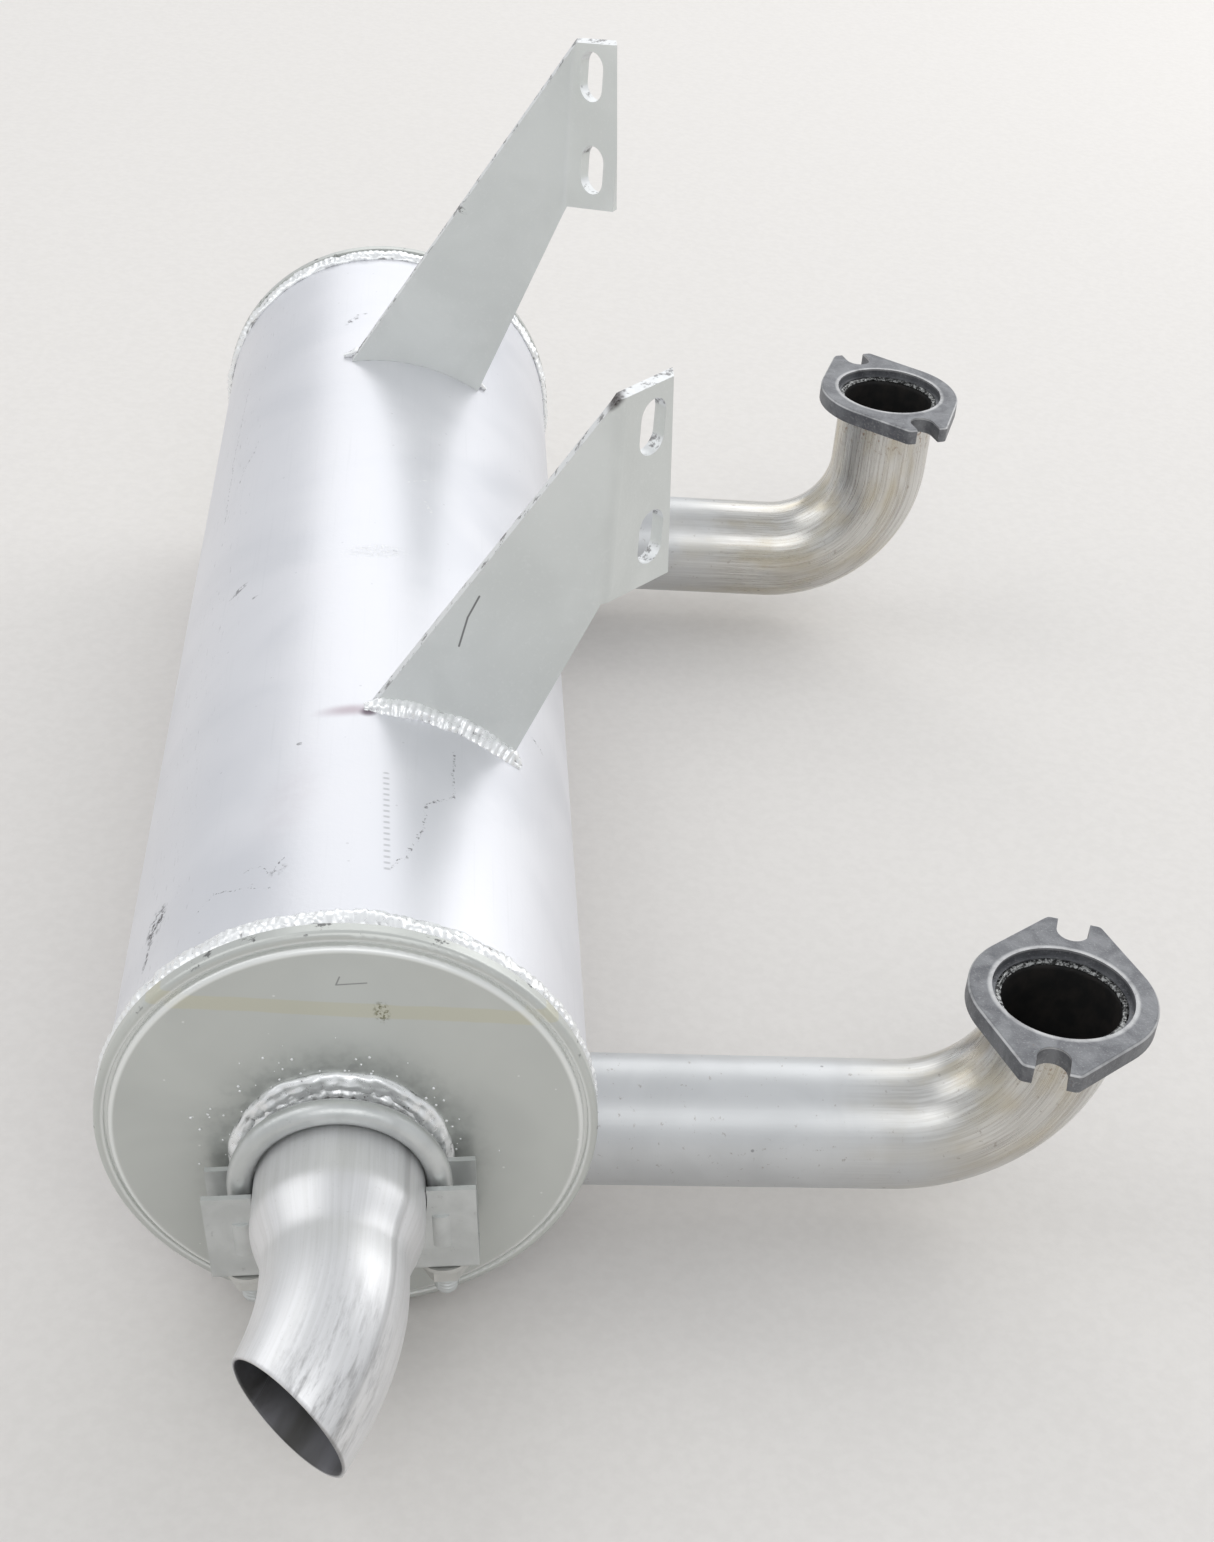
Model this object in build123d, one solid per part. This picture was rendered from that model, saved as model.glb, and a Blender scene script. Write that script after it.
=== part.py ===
"""Twin-inlet cylindrical exhaust silencer with a clamped, turned-down tailpipe.

Working frame: the body axis is Y, the front end (outlet) looks along -Y, the inlet
pipes leave along +X and rise along +Z. Every solid is moved at the end to the part
frame, whose origin is the centre of the front inlet flange's mating face.
"""
import math
import os

from build123d import *

os.makedirs("parts", exist_ok=True)

# ---------------------------------------------------------------- driving sizes, mm
# body
SHELL_OD = 152.4
SHELL_WALL = 1.5
BODY_LENGTH = 532.0            # between the two cap weld crests
CAP_WALL = 2.0
CAP_LIP_PROUD = 2.1            # rounded shoulder of the pressed cap, outside the shell
CAP_DISC_INSET = 2.4           # raised centre's edge, inside the shell's outer radius
CAP_LIP_RISE = 5.0             # shoulder stands this far out from the weld crest
CAP_DISC_RISE = 6.5
CAP_GROOVE_DEPTH = 1.6
CAP_GROOVE_WIDTH = 1.2
CAP_CUP_DEPTH = 14.0           # how far the cap's cup reaches into the shell
CAP_EDGE_ROUND = 1.8           # round of the raised centre's edge
CAP_SHOULDER_ROUND = 1.8
CAP_GROOVE_ROUND = 0.7
CAP_WELD_PROUD = 3.2           # weld crest, outside the shell
CAP_WELD_WIDTH = 8.0
# inlets
INLET_OD = 46.0
INLET_WALL = 1.6
INLET_BEND_RADIUS = 50.8
INLET_FLOOR_GAP = 9.7          # between the pipe and the shell's lowest inner line
INLET_MOUTH_GAP = 12.6         # between the pipe's inner end and the outlet tube
PORT_REACH = 238.8             # port axis from the body axis
FRONT_PORT_Y = 50.0
REAR_PORT_INSET = 53.5         # rear port axis ahead of the body's rear end
FRONT_PORT_STRAIGHT = 6.1      # straight run above the pipe's bend
REAR_PORT_STRAIGHT = 32.1
INLET_WELD_LEG = 4.0
# flanges
FLANGE_THICKNESS = 7.0
FLANGE_BORE_GAP = 1.7          # recess wider than the pipe, on the radius
FLANGE_BORE_DEPTH = 3.1        # recess for the gasket, above the weld
FLANGE_LAND = 8.3              # face left round the recess
FLANGE_STUD_SPACING = 73.0
FLANGE_NOTCH_WIDTH = 11.6
FLANGE_HORN = 6.5              # flange reaches this far past the stud centres
FLANGE_TIP_R = 2.6
FLANGE_TURN = 17.0             # stud line from the Y axis, degrees
FLANGE_EDGE = 0.7
PIPE_END_RECESS = 4.4          # pipe end below the mating face
PORT_WELD_RISE = 0.5           # weld's inner edge above the pipe's end
# outlet
OUTLET_X = -2.0
OUTLET_Z = -9.0
OUTLET_OD = 50.8
OUTLET_WALL = 1.5
OUTLET_WELD_LEG = 9.1
OUTLET_WELD_RISE = 4.3
# inner pieces
BAFFLE_WALL = 1.5
BAFFLE_RIM = 10.0
BAFFLE_INSET = 175.0           # each baffle from its end of the body
BAFFLE_HOLE_R = 6.0
BAFFLE_HOLE_EDGE = 12.8        # hole ring inside the rim
BAFFLE_HOLE_ANGLES = (-150, -120, -30, 10, 45)
CROSSOVER_OD = 38.1
CROSSOVER_WALL = 1.5
CROSSOVER_WALL_GAP = 4.7       # between the tube and the shell
CROSSOVER_ANGLE = 115.0        # round the body axis, from +X
CROSSOVER_OVERHANG = 25.0
PERFORATION_R = 2.5
PERFORATION_ROWS = 6
PERFORATION_COUNT = 8
# tailpipe
TAIL_OD = 44.4
TAIL_WALL = 1.1
SOCKET_DEPTH = 30.0
SOCKET_NECK = 12.0
STUB_MARGIN = 3.0              # stub ends this far short of the neck
TAIL_BEND_RADIUS = 50.8
TAIL_BEND_ANGLE = 61.7
TAIL_AIM = 42.9                # bend leans this far from straight down towards -X
TAIL_CUT = 26.7                # mouth plane's slant
TAIL_CUT_AIM = 227.1           # way the slant leans, from the bend's inner side
TAIL_CUT_SETBACK = 12.6        # from the end of the bend to the mouth's middle
TAIL_STRAIGHT = 12.2           # between the neck and the bend
# clamp
ROD_D = 7.9
CLAMP_TURN = -4.5              # clamp stands this far round from upright
CLAMP_GAP = 0.4                # between the saddle and the outlet weld's crest
THREAD_PROUD = 9.0             # rod end below the nut
THREAD_CHAMFER = 0.8
SADDLE_EAR = 11.2              # saddle reaches this far past each leg's centre
SADDLE_FLOOR_GAP = 4.3         # between the socket's seat and the saddle's underside
SADDLE_RISE = 3.0              # saddle's top edge above the outlet axis
SADDLE_DEPTH = 15.0
SADDLE_WALL = 2.0
SADDLE_BUMP_R = 4.0
SADDLE_BUMP_RISE = 1.2
SADDLE_BUMP_LENGTH = 13.0
SADDLE_CORNER = 1.6
NUT_FLATS = 12.7
NUT_HEIGHT = 5.6
NUT_COLLAR_OD = 16.5
NUT_COLLAR = 1.7
NUT_CHAMFER = 0.5
# brackets
BRACKET_PLATE = 4.76
BRACKET_BEND = 45.0
BRACKET_BEND_R = 3.5
SLOT_WIDTH = 12.0
SLOT_LENGTH = 19.5
BRACKET_WELD_LEG = 4.6
BRACKET_WELD_RUN_ON = 2.0      # bead runs on past each corner of the foot, degrees
FRONT_BRACKET_Y = 124.0
REAR_BRACKET_INSET = 124.5
BEAD_SWELL = 0.4               # how far a bead's face bulges
# fits
RUNNING = 0.05                 # radial clearance of turning and screwed pairs
CLEAR = 0.3                    # gap between pieces on different bodies
PRESSED = 0.1                  # gap between nested fixed pieces
THROUGH = 1.0                  # cutters run this far past what they cut

# ---------------------------------------------------------------- derived sizes
shell_r = SHELL_OD / 2
shell_in = shell_r - SHELL_WALL
cap_face = -CAP_DISC_RISE
inlet_r = INLET_OD / 2
inlet_in = inlet_r - INLET_WALL
inlet_drop = shell_in - INLET_FLOOR_GAP - inlet_r
bend_top = INLET_BEND_RADIUS - inlet_drop
front_port_rise = bend_top + FRONT_PORT_STRAIGHT + PIPE_END_RECESS
rear_port_rise = bend_top + REAR_PORT_STRAIGHT + PIPE_END_RECESS
rear_port_y = BODY_LENGTH - REAR_PORT_INSET
outlet_r = OUTLET_OD / 2
outlet_in = outlet_r - OUTLET_WALL
inlet_start = OUTLET_X + outlet_r + INLET_MOUTH_GAP
socket_in = outlet_r + RUNNING
socket_start = OUTLET_WELD_RISE + CLEAR
outlet_stub = socket_start + SOCKET_DEPTH - STUB_MARGIN
socket_r = socket_in + TAIL_WALL
ring_in = socket_r + CLEAR
rod_r = ROD_D / 2
leg_x = ring_in + rod_r
saddle_reach = SADDLE_DEPTH / 2 + SADDLE_BUMP_RISE
clamp_y = cap_face - OUTLET_WELD_RISE - CLAMP_GAP - saddle_reach
saddle_bottom = -ring_in - SADDLE_FLOOR_GAP
saddle_width = 2 * (leg_x + SADDLE_EAR)
nut_seat = saddle_bottom - CLEAR
leg_end = nut_seat - NUT_COLLAR - NUT_HEIGHT - THREAD_PROUD
stud_r = FLANGE_STUD_SPACING / 2
flange_bore_r = inlet_r + FLANGE_BORE_GAP
pipe_hole_r = inlet_r + PRESSED
crossover_r = CROSSOVER_OD / 2
crossover_out = shell_in - CROSSOVER_WALL_GAP - crossover_r
crossover_x = crossover_out * math.cos(math.radians(CROSSOVER_ANGLE))
crossover_z = crossover_out * math.sin(math.radians(CROSSOVER_ANGLE))
front_baffle_y = BAFFLE_INSET
rear_baffle_y = BODY_LENGTH - BAFFLE_INSET

PART_FRAME = Location((-PORT_REACH, -FRONT_PORT_Y, -front_port_rise))
OUTLET = Location((OUTLET_X, 0, OUTLET_Z))
REAR_END = Pos(0, BODY_LENGTH, 0) * Rot(0, 0, 180)


def write(name, solid):
    """Move one node to the part frame and store it."""
    export_step(PART_FRAME * solid, f"parts/{name}.step")


def rod_y(radius, y0, y1, x=0.0, z=0.0):
    """Cylinder along Y between two stations."""
    return Pos(x, (y0 + y1) / 2, z) * Rot(90, 0, 0) * Cylinder(radius, y1 - y0)


def turned(points, degrees=360.0):
    """Closed (radius, y) outline turned about the Y axis."""
    return revolve(make_face(Polyline(*points, close=True)), Axis.Y, degrees)


def crowned_ring(r_foot, r_crown, y_start, y_end, bulge):
    """Weld bead round the Y axis: a fillet triangle whose open side swells outwards."""
    corner = (r_foot, y_start)
    high = (r_crown, y_start)
    toe = (r_foot, y_end)
    out = math.copysign(bulge, y_end - y_start)
    mid = ((high[0] + toe[0]) / 2 + bulge, (high[1] + toe[1]) / 2 + out)
    outline = [Line(corner, high), ThreePointArc(high, mid, toe), Line(toe, corner)]
    return make_face(outline)


# ---------------------------------------------------------------- body
def shell():
    tube = rod_y(shell_r, 0, BODY_LENGTH) - rod_y(shell_in, 0, BODY_LENGTH)
    for port_y in (FRONT_PORT_Y, rear_port_y):
        reach = Pos(shell_r, port_y, -inlet_drop) * Rot(0, 90, 0)
        tube -= reach * Cylinder(pipe_hole_r, 2 * shell_r)
    return tube


def end_cap():
    """Pressed cap: raised disc, groove, rounded shoulder and a cup inside the shell."""
    disc_r = shell_r - CAP_DISC_INSET
    lip_r = shell_r + CAP_LIP_PROUD
    groove = -CAP_LIP_RISE + CAP_GROOVE_DEPTH
    cup_r = shell_in - PRESSED
    outline = [
        (0, cap_face),
        (disc_r, cap_face),
        (disc_r, groove),
        (disc_r + CAP_GROOVE_WIDTH, groove),
        (disc_r + CAP_GROOVE_WIDTH, -CAP_LIP_RISE),
        (lip_r, -CAP_LIP_RISE),
        (lip_r, 0),
        (cup_r, 0),
        (cup_r, CAP_CUP_DEPTH),
        (cup_r - CAP_WALL, CAP_CUP_DEPTH),
        (cup_r - CAP_WALL, cap_face + CAP_WALL),
        (0, cap_face + CAP_WALL),
    ]
    face = make_face(Polyline(*outline, close=True))

    def at(r, y):
        return face.vertices().sort_by_distance((r, y, 0))[0]

    face = fillet(at(disc_r, cap_face), CAP_EDGE_ROUND)
    face = fillet(at(lip_r, -CAP_LIP_RISE), CAP_SHOULDER_ROUND)
    face = fillet(at(disc_r + CAP_GROOVE_WIDTH, -CAP_LIP_RISE), CAP_GROOVE_ROUND)
    return revolve(face, Axis.Y)


def front_cap():
    hole = rod_y(outlet_r + PRESSED, cap_face - THROUGH, CAP_CUP_DEPTH, OUTLET_X, OUTLET_Z)
    return end_cap() - hole


def cap_weld():
    bead = crowned_ring(shell_r, shell_r + CAP_WELD_PROUD, 0, CAP_WELD_WIDTH, BEAD_SWELL)
    return revolve(bead, Axis.Y)


# ---------------------------------------------------------------- inner pieces
def baffle():
    """Dished partition with a turned rim, drilled for both tubes and for the gas."""
    rim_r = shell_in - PRESSED
    plate = rod_y(rim_r, 0, BAFFLE_RIM) - rod_y(rim_r - BAFFLE_WALL, BAFFLE_WALL, BAFFLE_RIM)
    plate -= rod_y(outlet_r + PRESSED, -THROUGH, BAFFLE_RIM, OUTLET_X, OUTLET_Z)
    plate -= rod_y(crossover_r + PRESSED, -THROUGH, BAFFLE_RIM, crossover_x, crossover_z)
    ring_r = rim_r - BAFFLE_HOLE_EDGE
    for angle in BAFFLE_HOLE_ANGLES:
        x = ring_r * math.cos(math.radians(angle))
        z = ring_r * math.sin(math.radians(angle))
        plate -= rod_y(BAFFLE_HOLE_R, -THROUGH, BAFFLE_RIM, x, z)
    return plate


def perforations(y0, y1, radius, x, z):
    """Rows of round holes through a tube's wall between two stations."""
    step = (y1 - y0) / (PERFORATION_ROWS + 1)
    holes = []
    for row in range(PERFORATION_ROWS):
        for k in range(PERFORATION_COUNT // 2):
            turn = 360 / PERFORATION_COUNT * (k + 0.5 * (row % 2))
            place = Pos(x, y0 + step * (row + 1), z) * Rot(0, turn, 0)
            holes.append(place * Cylinder(PERFORATION_R, 2 * (radius + THROUGH)))
    return holes


def outlet_tube():
    """Outlet: open stub outside the cap, perforated between the two baffles."""
    start = cap_face - outlet_stub
    end = rear_baffle_y + CROSSOVER_OVERHANG
    tube = rod_y(outlet_r, start, end, OUTLET_X, OUTLET_Z)
    tube -= rod_y(outlet_in, start - THROUGH, end + THROUGH, OUTLET_X, OUTLET_Z)
    return tube - perforations(front_baffle_y, rear_baffle_y, outlet_r, OUTLET_X, OUTLET_Z)


def outlet_plug():
    """Disc closing the outlet tube's inner end."""
    end = rear_baffle_y + CROSSOVER_OVERHANG
    return rod_y(outlet_in - PRESSED, end - BAFFLE_WALL, end, OUTLET_X, OUTLET_Z)


def crossover_tube():
    """Tube joining the front and rear chambers, perforated in the middle one."""
    start = front_baffle_y - CROSSOVER_OVERHANG
    end = rear_baffle_y + CROSSOVER_OVERHANG
    inner_r = crossover_r - CROSSOVER_WALL
    tube = rod_y(crossover_r, start, end, crossover_x, crossover_z)
    tube -= rod_y(inner_r, start - THROUGH, end + THROUGH, crossover_x, crossover_z)
    holes = perforations(front_baffle_y, rear_baffle_y, crossover_r, crossover_x, crossover_z)
    return tube - holes


# ---------------------------------------------------------------- inlets
def swept_tube(route, r_out, r_in):
    section = Plane(route ^ 0) * (Circle(r_out) - Circle(r_in))
    return sweep(section, path=route)


def inlet_pipe(port_y, port_rise):
    """Mandrel-bent pipe: out of the shell along X, then up to the flange."""
    top = port_rise - PIPE_END_RECESS
    route = FilletPolyline(
        (inlet_start, port_y, -inlet_drop),
        (PORT_REACH, port_y, -inlet_drop),
        (PORT_REACH, port_y, top),
        radius=INLET_BEND_RADIUS,
    )
    return swept_tube(route, inlet_r, inlet_in)


def inlet_weld(port_y):
    """Bead round the pipe where it leaves the shell."""
    toe = inlet_r + INLET_WELD_LEG
    axis = Pos(shell_r, port_y, -inlet_drop) * Rot(0, 90, 0)
    ring = axis * (Cylinder(toe, 2 * shell_r) - Cylinder(inlet_r, 2 * shell_r))
    crest = shell_r + INLET_WELD_LEG
    y0, y1 = port_y - toe - THROUGH, port_y + toe + THROUGH
    skin = rod_y(crest, y0, y1) - rod_y(shell_r, y0 - THROUGH, y1 + THROUGH)
    return ring & skin


def flange(port_y, port_rise, turn):
    """Oval plate with a stepped bore and an open stud notch at each end."""
    half_tip = FLANGE_NOTCH_WIDTH / 2 + FLANGE_TIP_R
    tip_y = stud_r + FLANGE_HORN - FLANGE_TIP_R
    rounds = [Circle(flange_bore_r + FLANGE_LAND)]
    for sx in (1, -1):
        for sy in (1, -1):
            rounds.append(Pos(sx * half_tip, sy * tip_y) * Circle(FLANGE_TIP_R))
    outline = make_hull([edge for disc in rounds for edge in disc.edges()])
    plate = extrude(outline, -FLANGE_THICKNESS)
    plate = chamfer(plate.edges().group_by(Axis.Z)[-1], FLANGE_EDGE)
    plate -= Cylinder(pipe_hole_r, 4 * FLANGE_THICKNESS)
    plate -= Cylinder(flange_bore_r, 2 * FLANGE_BORE_DEPTH)
    run = FLANGE_HORN + THROUGH
    mouth = Box(FLANGE_NOTCH_WIDTH, run, 4 * FLANGE_THICKNESS)
    for sy in (1, -1):
        plate -= Pos(0, sy * stud_r) * Cylinder(FLANGE_NOTCH_WIDTH / 2, 4 * FLANGE_THICKNESS)
        plate -= Pos(0, sy * (stud_r + run / 2)) * mouth
    return Pos(PORT_REACH, port_y, port_rise) * Rot(0, 0, turn) * plate


def flange_weld(port_y, port_rise):
    """Ring of weld on the pipe's end, sloping up to the step in the flange's bore."""
    inner = inlet_r - INLET_WALL / 2
    outline = [
        (inner, -PIPE_END_RECESS),
        (pipe_hole_r, -PIPE_END_RECESS),
        (pipe_hole_r, -FLANGE_BORE_DEPTH),
        (inner, -PIPE_END_RECESS + PORT_WELD_RISE),
    ]
    ring = revolve(make_face(Polyline(*outline, close=True)), Axis.Y)
    return Pos(PORT_REACH, port_y, port_rise) * Rot(90, 0, 0) * ring


# ---------------------------------------------------------------- outlet end
def outlet_weld():
    crown_r = outlet_r + OUTLET_WELD_LEG
    bead = crowned_ring(outlet_r, crown_r, cap_face, cap_face - OUTLET_WELD_RISE, BEAD_SWELL)
    return OUTLET * revolve(bead, Axis.Y)


def tailpipe():
    """Expanded socket, neck and turned-down bend with a slanted mouth."""
    tail_r = TAIL_OD / 2
    start = cap_face - socket_start
    neck = start - SOCKET_DEPTH
    slim = neck - SOCKET_NECK
    bend = slim - TAIL_STRAIGHT
    outline = [
        (socket_in, start),
        (socket_r, start),
        (socket_r, neck),
        (tail_r, slim),
        (tail_r, bend),
        (tail_r - TAIL_WALL, bend),
        (tail_r - TAIL_WALL, slim),
        (socket_in, neck),
    ]
    socket = turned(outline)
    route = CenterArc((0, 0), TAIL_BEND_RADIUS, 180, TAIL_BEND_ANGLE)
    # the arc is drawn in a plane that holds the axis and the direction of the bend
    aim = math.radians(TAIL_AIM)
    side = Vector(-math.sin(aim), 0, -math.cos(aim))
    centre = Vector(0, bend, 0) + side * TAIL_BEND_RADIUS
    plane = Plane(origin=centre, x_dir=side, z_dir=side.cross(Vector(0, -1, 0)) * -1)
    arc = plane * route
    elbow = swept_tube(arc, tail_r, tail_r - TAIL_WALL)
    mouth = arc @ 1
    heading = (arc % 1).normalized()
    inward = plane.z_dir.cross(heading).normalized()
    lean = math.radians(TAIL_CUT_AIM)
    across = inward * math.cos(lean) + plane.z_dir * math.sin(lean)
    normal = heading * math.cos(math.radians(TAIL_CUT)) + across * math.sin(math.radians(TAIL_CUT))
    knife = Plane(origin=mouth - heading * TAIL_CUT_SETBACK, z_dir=normal)
    elbow -= knife * Pos(0, 0, TAIL_OD) * Cylinder(2 * TAIL_OD, 2 * TAIL_OD)
    return OUTLET * (socket + elbow)


CLAMP = OUTLET * Pos(0, clamp_y, 0) * Rot(0, CLAMP_TURN, 0)


def u_bolt():
    """Round rod: half ring over the socket and two threaded legs."""
    route = Wire([
        Line((-leg_x, 0, leg_end), (-leg_x, 0, 0)),
        ThreePointArc((-leg_x, 0, 0), (0, 0, leg_x), (leg_x, 0, 0)),
        Line((leg_x, 0, 0), (leg_x, 0, leg_end)),
    ])
    rod = sweep(Plane(route ^ 0) * Circle(rod_r), path=route)
    ends = rod.faces().sort_by(Axis.Z)[:2]
    return CLAMP * chamfer(ends.edges(), THREAD_CHAMFER)


def saddle():
    """Channel that seats the socket; the legs pass through its floor."""
    mid = (SADDLE_RISE + saddle_bottom) / 2
    height = SADDLE_RISE - saddle_bottom
    body = Pos(0, 0, mid) * Box(saddle_width, SADDLE_DEPTH, height)
    hollow = Box(saddle_width + THROUGH, SADDLE_DEPTH - 2 * SADDLE_WALL, height)
    body -= Pos(0, 0, mid + SADDLE_WALL) * hollow
    body -= rod_y(ring_in, -SADDLE_DEPTH, SADDLE_DEPTH)
    body = fillet(body.edges().filter_by(Axis.X).group_by(Axis.Z)[0], SADDLE_CORNER)
    for sx in (1, -1):
        body -= Pos(sx * leg_x, 0, saddle_bottom) * Cylinder(rod_r + 1.5 * CLEAR, 4 * SADDLE_WALL)
        for sy in (1, -1):
            sunk = sy * (SADDLE_DEPTH / 2 + SADDLE_BUMP_RISE - SADDLE_BUMP_R)
            bump = Pos(sx * leg_x, sunk, mid) * Cylinder(SADDLE_BUMP_R, SADDLE_BUMP_LENGTH)
            skin = Box(saddle_width, SADDLE_BUMP_RISE, height)
            body += bump & Pos(0, sy * (SADDLE_DEPTH + SADDLE_BUMP_RISE) / 2, mid) * skin
    return CLAMP * body


def nut(side):
    """Collared hexagon nut below the saddle's floor."""
    collar = Cylinder(NUT_COLLAR_OD / 2, NUT_COLLAR, align=(Align.CENTER, Align.CENTER, Align.MAX))
    hexagon = RegularPolygon(NUT_FLATS / math.sqrt(3), 6)
    body = collar + Pos(0, 0, -NUT_COLLAR) * extrude(hexagon, -NUT_HEIGHT)
    body = chamfer(body.edges().group_by(Axis.Z)[0], NUT_CHAMFER)
    body -= Cylinder(rod_r + RUNNING, 6 * NUT_HEIGHT)
    return CLAMP * Pos(side * leg_x, 0, nut_seat) * body


# ---------------------------------------------------------------- brackets
class Bracket:
    """Bent plate: a web across the body and a slotted tab turned out of its plane.

    web gives the lower and upper corner at the bend, tab the tab's outer edge and slots
    the slot centres, as rises above the shell's top, each with its reach past the bend.
    """

    def __init__(self, face_y, turn, foot, bend_x, web, tab, slots):
        self.face_y = face_y          # the web's front face
        self.turn = turn              # +1 turns the tab to the rear, -1 to the front
        self.foot = foot              # x of the web's two feet on the shell
        self.bend_x = bend_x
        self.web = [shell_r + rise for rise in web]
        self.tab = [(reach, shell_r + rise) for reach, rise in tab]
        self.slots = [(reach, shell_r + rise) for reach, rise in slots]

    def plane_of_tab(self, reach, z):
        """Frame on the tab: local X along its reach, local Y up, Z through it."""
        a = math.radians(BRACKET_BEND) * self.turn
        run = Vector(math.cos(a), math.sin(a), 0)
        middle = Vector(self.bend_x, self.face_y + BRACKET_PLATE / 2, z) + run * reach
        return Plane(origin=middle, x_dir=run, z_dir=run.cross(Vector(0, 0, 1)))

    def section(self):
        """Plan view of the bent plate."""
        a = math.radians(BRACKET_BEND) * self.turn
        half = BRACKET_PLATE / 2
        far = max(reach for reach, _ in self.tab)
        mid_y = self.face_y + half
        start_x = min(self.foot) - THROUGH
        skew = half * math.tan(a / 2)
        run = Vector(math.cos(a), math.sin(a))
        side = Vector(-math.sin(a), math.cos(a)) * half
        end = Vector(self.bend_x, mid_y) + run * far
        low_corner = (self.bend_x + skew, mid_y - half)
        high_corner = (self.bend_x - skew, mid_y + half)
        points = [
            (start_x, mid_y - half),
            low_corner,
            ((end - side).X, (end - side).Y),
            ((end + side).X, (end + side).Y),
            high_corner,
            (start_x, mid_y + half),
        ]
        face = make_face(Polyline(*points, close=True))
        inner, outer = (high_corner, low_corner) if self.turn > 0 else (low_corner, high_corner)
        near = face.vertices().sort_by_distance((*inner, 0))[0]
        face = fillet(near, BRACKET_BEND_R)
        near = face.vertices().sort_by_distance((*outer, 0))[0]
        return fillet(near, BRACKET_BEND_R + BRACKET_PLATE)

    def solid(self):
        cos_bend = math.cos(math.radians(BRACKET_BEND))
        low, high = self.tab
        inside = shell_r / 2
        outline = [
            (self.foot[0], inside),
            (self.foot[0], self.foot_z(self.foot[0])),
            (self.bend_x, self.web[1]),
            (self.bend_x + high[0] * cos_bend, high[1]),
            (self.bend_x + low[0] * cos_bend, low[1]),
            (self.bend_x, self.web[0]),
            (self.foot[1], self.foot_z(self.foot[1])),
            (self.foot[1], inside),
        ]
        plate = extrude(self.section(), max(self.web[1], high[1]) + THROUGH)
        depth = 2 * low[0]
        prism = extrude(Plane.XZ * make_face(Polyline(*outline, close=True)), depth, both=True)
        plate &= Pos(0, self.face_y, 0) * prism
        plate -= rod_y(shell_r, 0, BODY_LENGTH)
        for reach, z in self.slots:
            cutter = self.plane_of_tab(reach, z) * SlotOverall(SLOT_LENGTH, SLOT_WIDTH, rotation=90)
            plate -= extrude(cutter, 2 * BRACKET_PLATE, both=True)
        return plate

    def foot_z(self, x):
        return math.sqrt(shell_r ** 2 - x ** 2)

    def weld(self):
        """Bead along the web's foot, on the side away from the tab's turn."""
        if self.turn > 0:
            start, end = self.face_y, self.face_y - BRACKET_WELD_LEG
        else:
            start = self.face_y + BRACKET_PLATE
            end = start + BRACKET_WELD_LEG
        bead = crowned_ring(shell_r, shell_r + BRACKET_WELD_LEG, start, end, BEAD_SWELL)
        angles = [math.degrees(math.atan2(self.foot_z(x), x)) for x in self.foot]
        spread = abs(angles[0] - angles[1]) + 2 * BRACKET_WELD_RUN_ON
        return Rot(0, -max(angles) - BRACKET_WELD_RUN_ON, 0) * revolve(bead, Axis.Y, spread)


FRONT_BRACKET = Bracket(
    face_y=FRONT_BRACKET_Y, turn=1, foot=(2.7, 50.4), bend_x=77.0, web=(42.8, 114.8),
    tab=((33.8, 43.8), (26.8, 116.2)), slots=((16.2, 101.1), (20.2, 60.8)))
REAR_BRACKET = Bracket(
    face_y=BODY_LENGTH - REAR_BRACKET_INSET, turn=-1, foot=(-14.2, 40.6), bend_x=74.5,
    web=(73.3, 139.8), tab=((27.6, 79.2), (21.0, 144.1)), slots=((11.0, 128.6), (14.7, 92.1)))


# ---------------------------------------------------------------- write every node
def main():
    write("shell", shell())
    write("front_end_cap", front_cap())
    write("rear_end_cap", REAR_END * end_cap())
    write("front_cap_weld", cap_weld())
    write("rear_cap_weld", REAR_END * cap_weld())
    write("front_baffle", Pos(0, front_baffle_y, 0) * baffle())
    write("rear_baffle", Pos(0, rear_baffle_y, 0) * baffle())
    write("outlet_tube", outlet_tube())
    write("outlet_tube_plug", outlet_plug())
    write("crossover_tube", crossover_tube())
    write("outlet_weld", outlet_weld())
    ports = {
        "front": (FRONT_PORT_Y, front_port_rise, -FLANGE_TURN),
        "rear": (rear_port_y, rear_port_rise, FLANGE_TURN),
    }
    for end, (port_y, port_rise, turn) in ports.items():
        write(f"{end}_inlet_pipe", inlet_pipe(port_y, port_rise))
        write(f"{end}_inlet_weld", inlet_weld(port_y))
        write(f"{end}_inlet_flange", flange(port_y, port_rise, turn))
        write(f"{end}_flange_weld", flange_weld(port_y, port_rise))
    for end, bracket in {"front": FRONT_BRACKET, "rear": REAR_BRACKET}.items():
        write(f"{end}_bracket", bracket.solid())
        write(f"{end}_bracket_weld", bracket.weld())
    write("tailpipe", tailpipe())
    write("clamp_u_bolt", u_bolt())
    write("clamp_saddle", saddle())
    write("clamp_nut_left", nut(-1))
    write("clamp_nut_right", nut(1))


main()
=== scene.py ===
"""Looks of the twin-inlet exhaust silencer.

Drawn tubes, rough weld beads and a threaded U-bolt are built here as meshes; the pressed
and cut parts keep their CAD shape. Every finish is a procedural material in metres.
"""
import math
import random

import bpy
from mathutils import Matrix, Vector, noise


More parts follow.
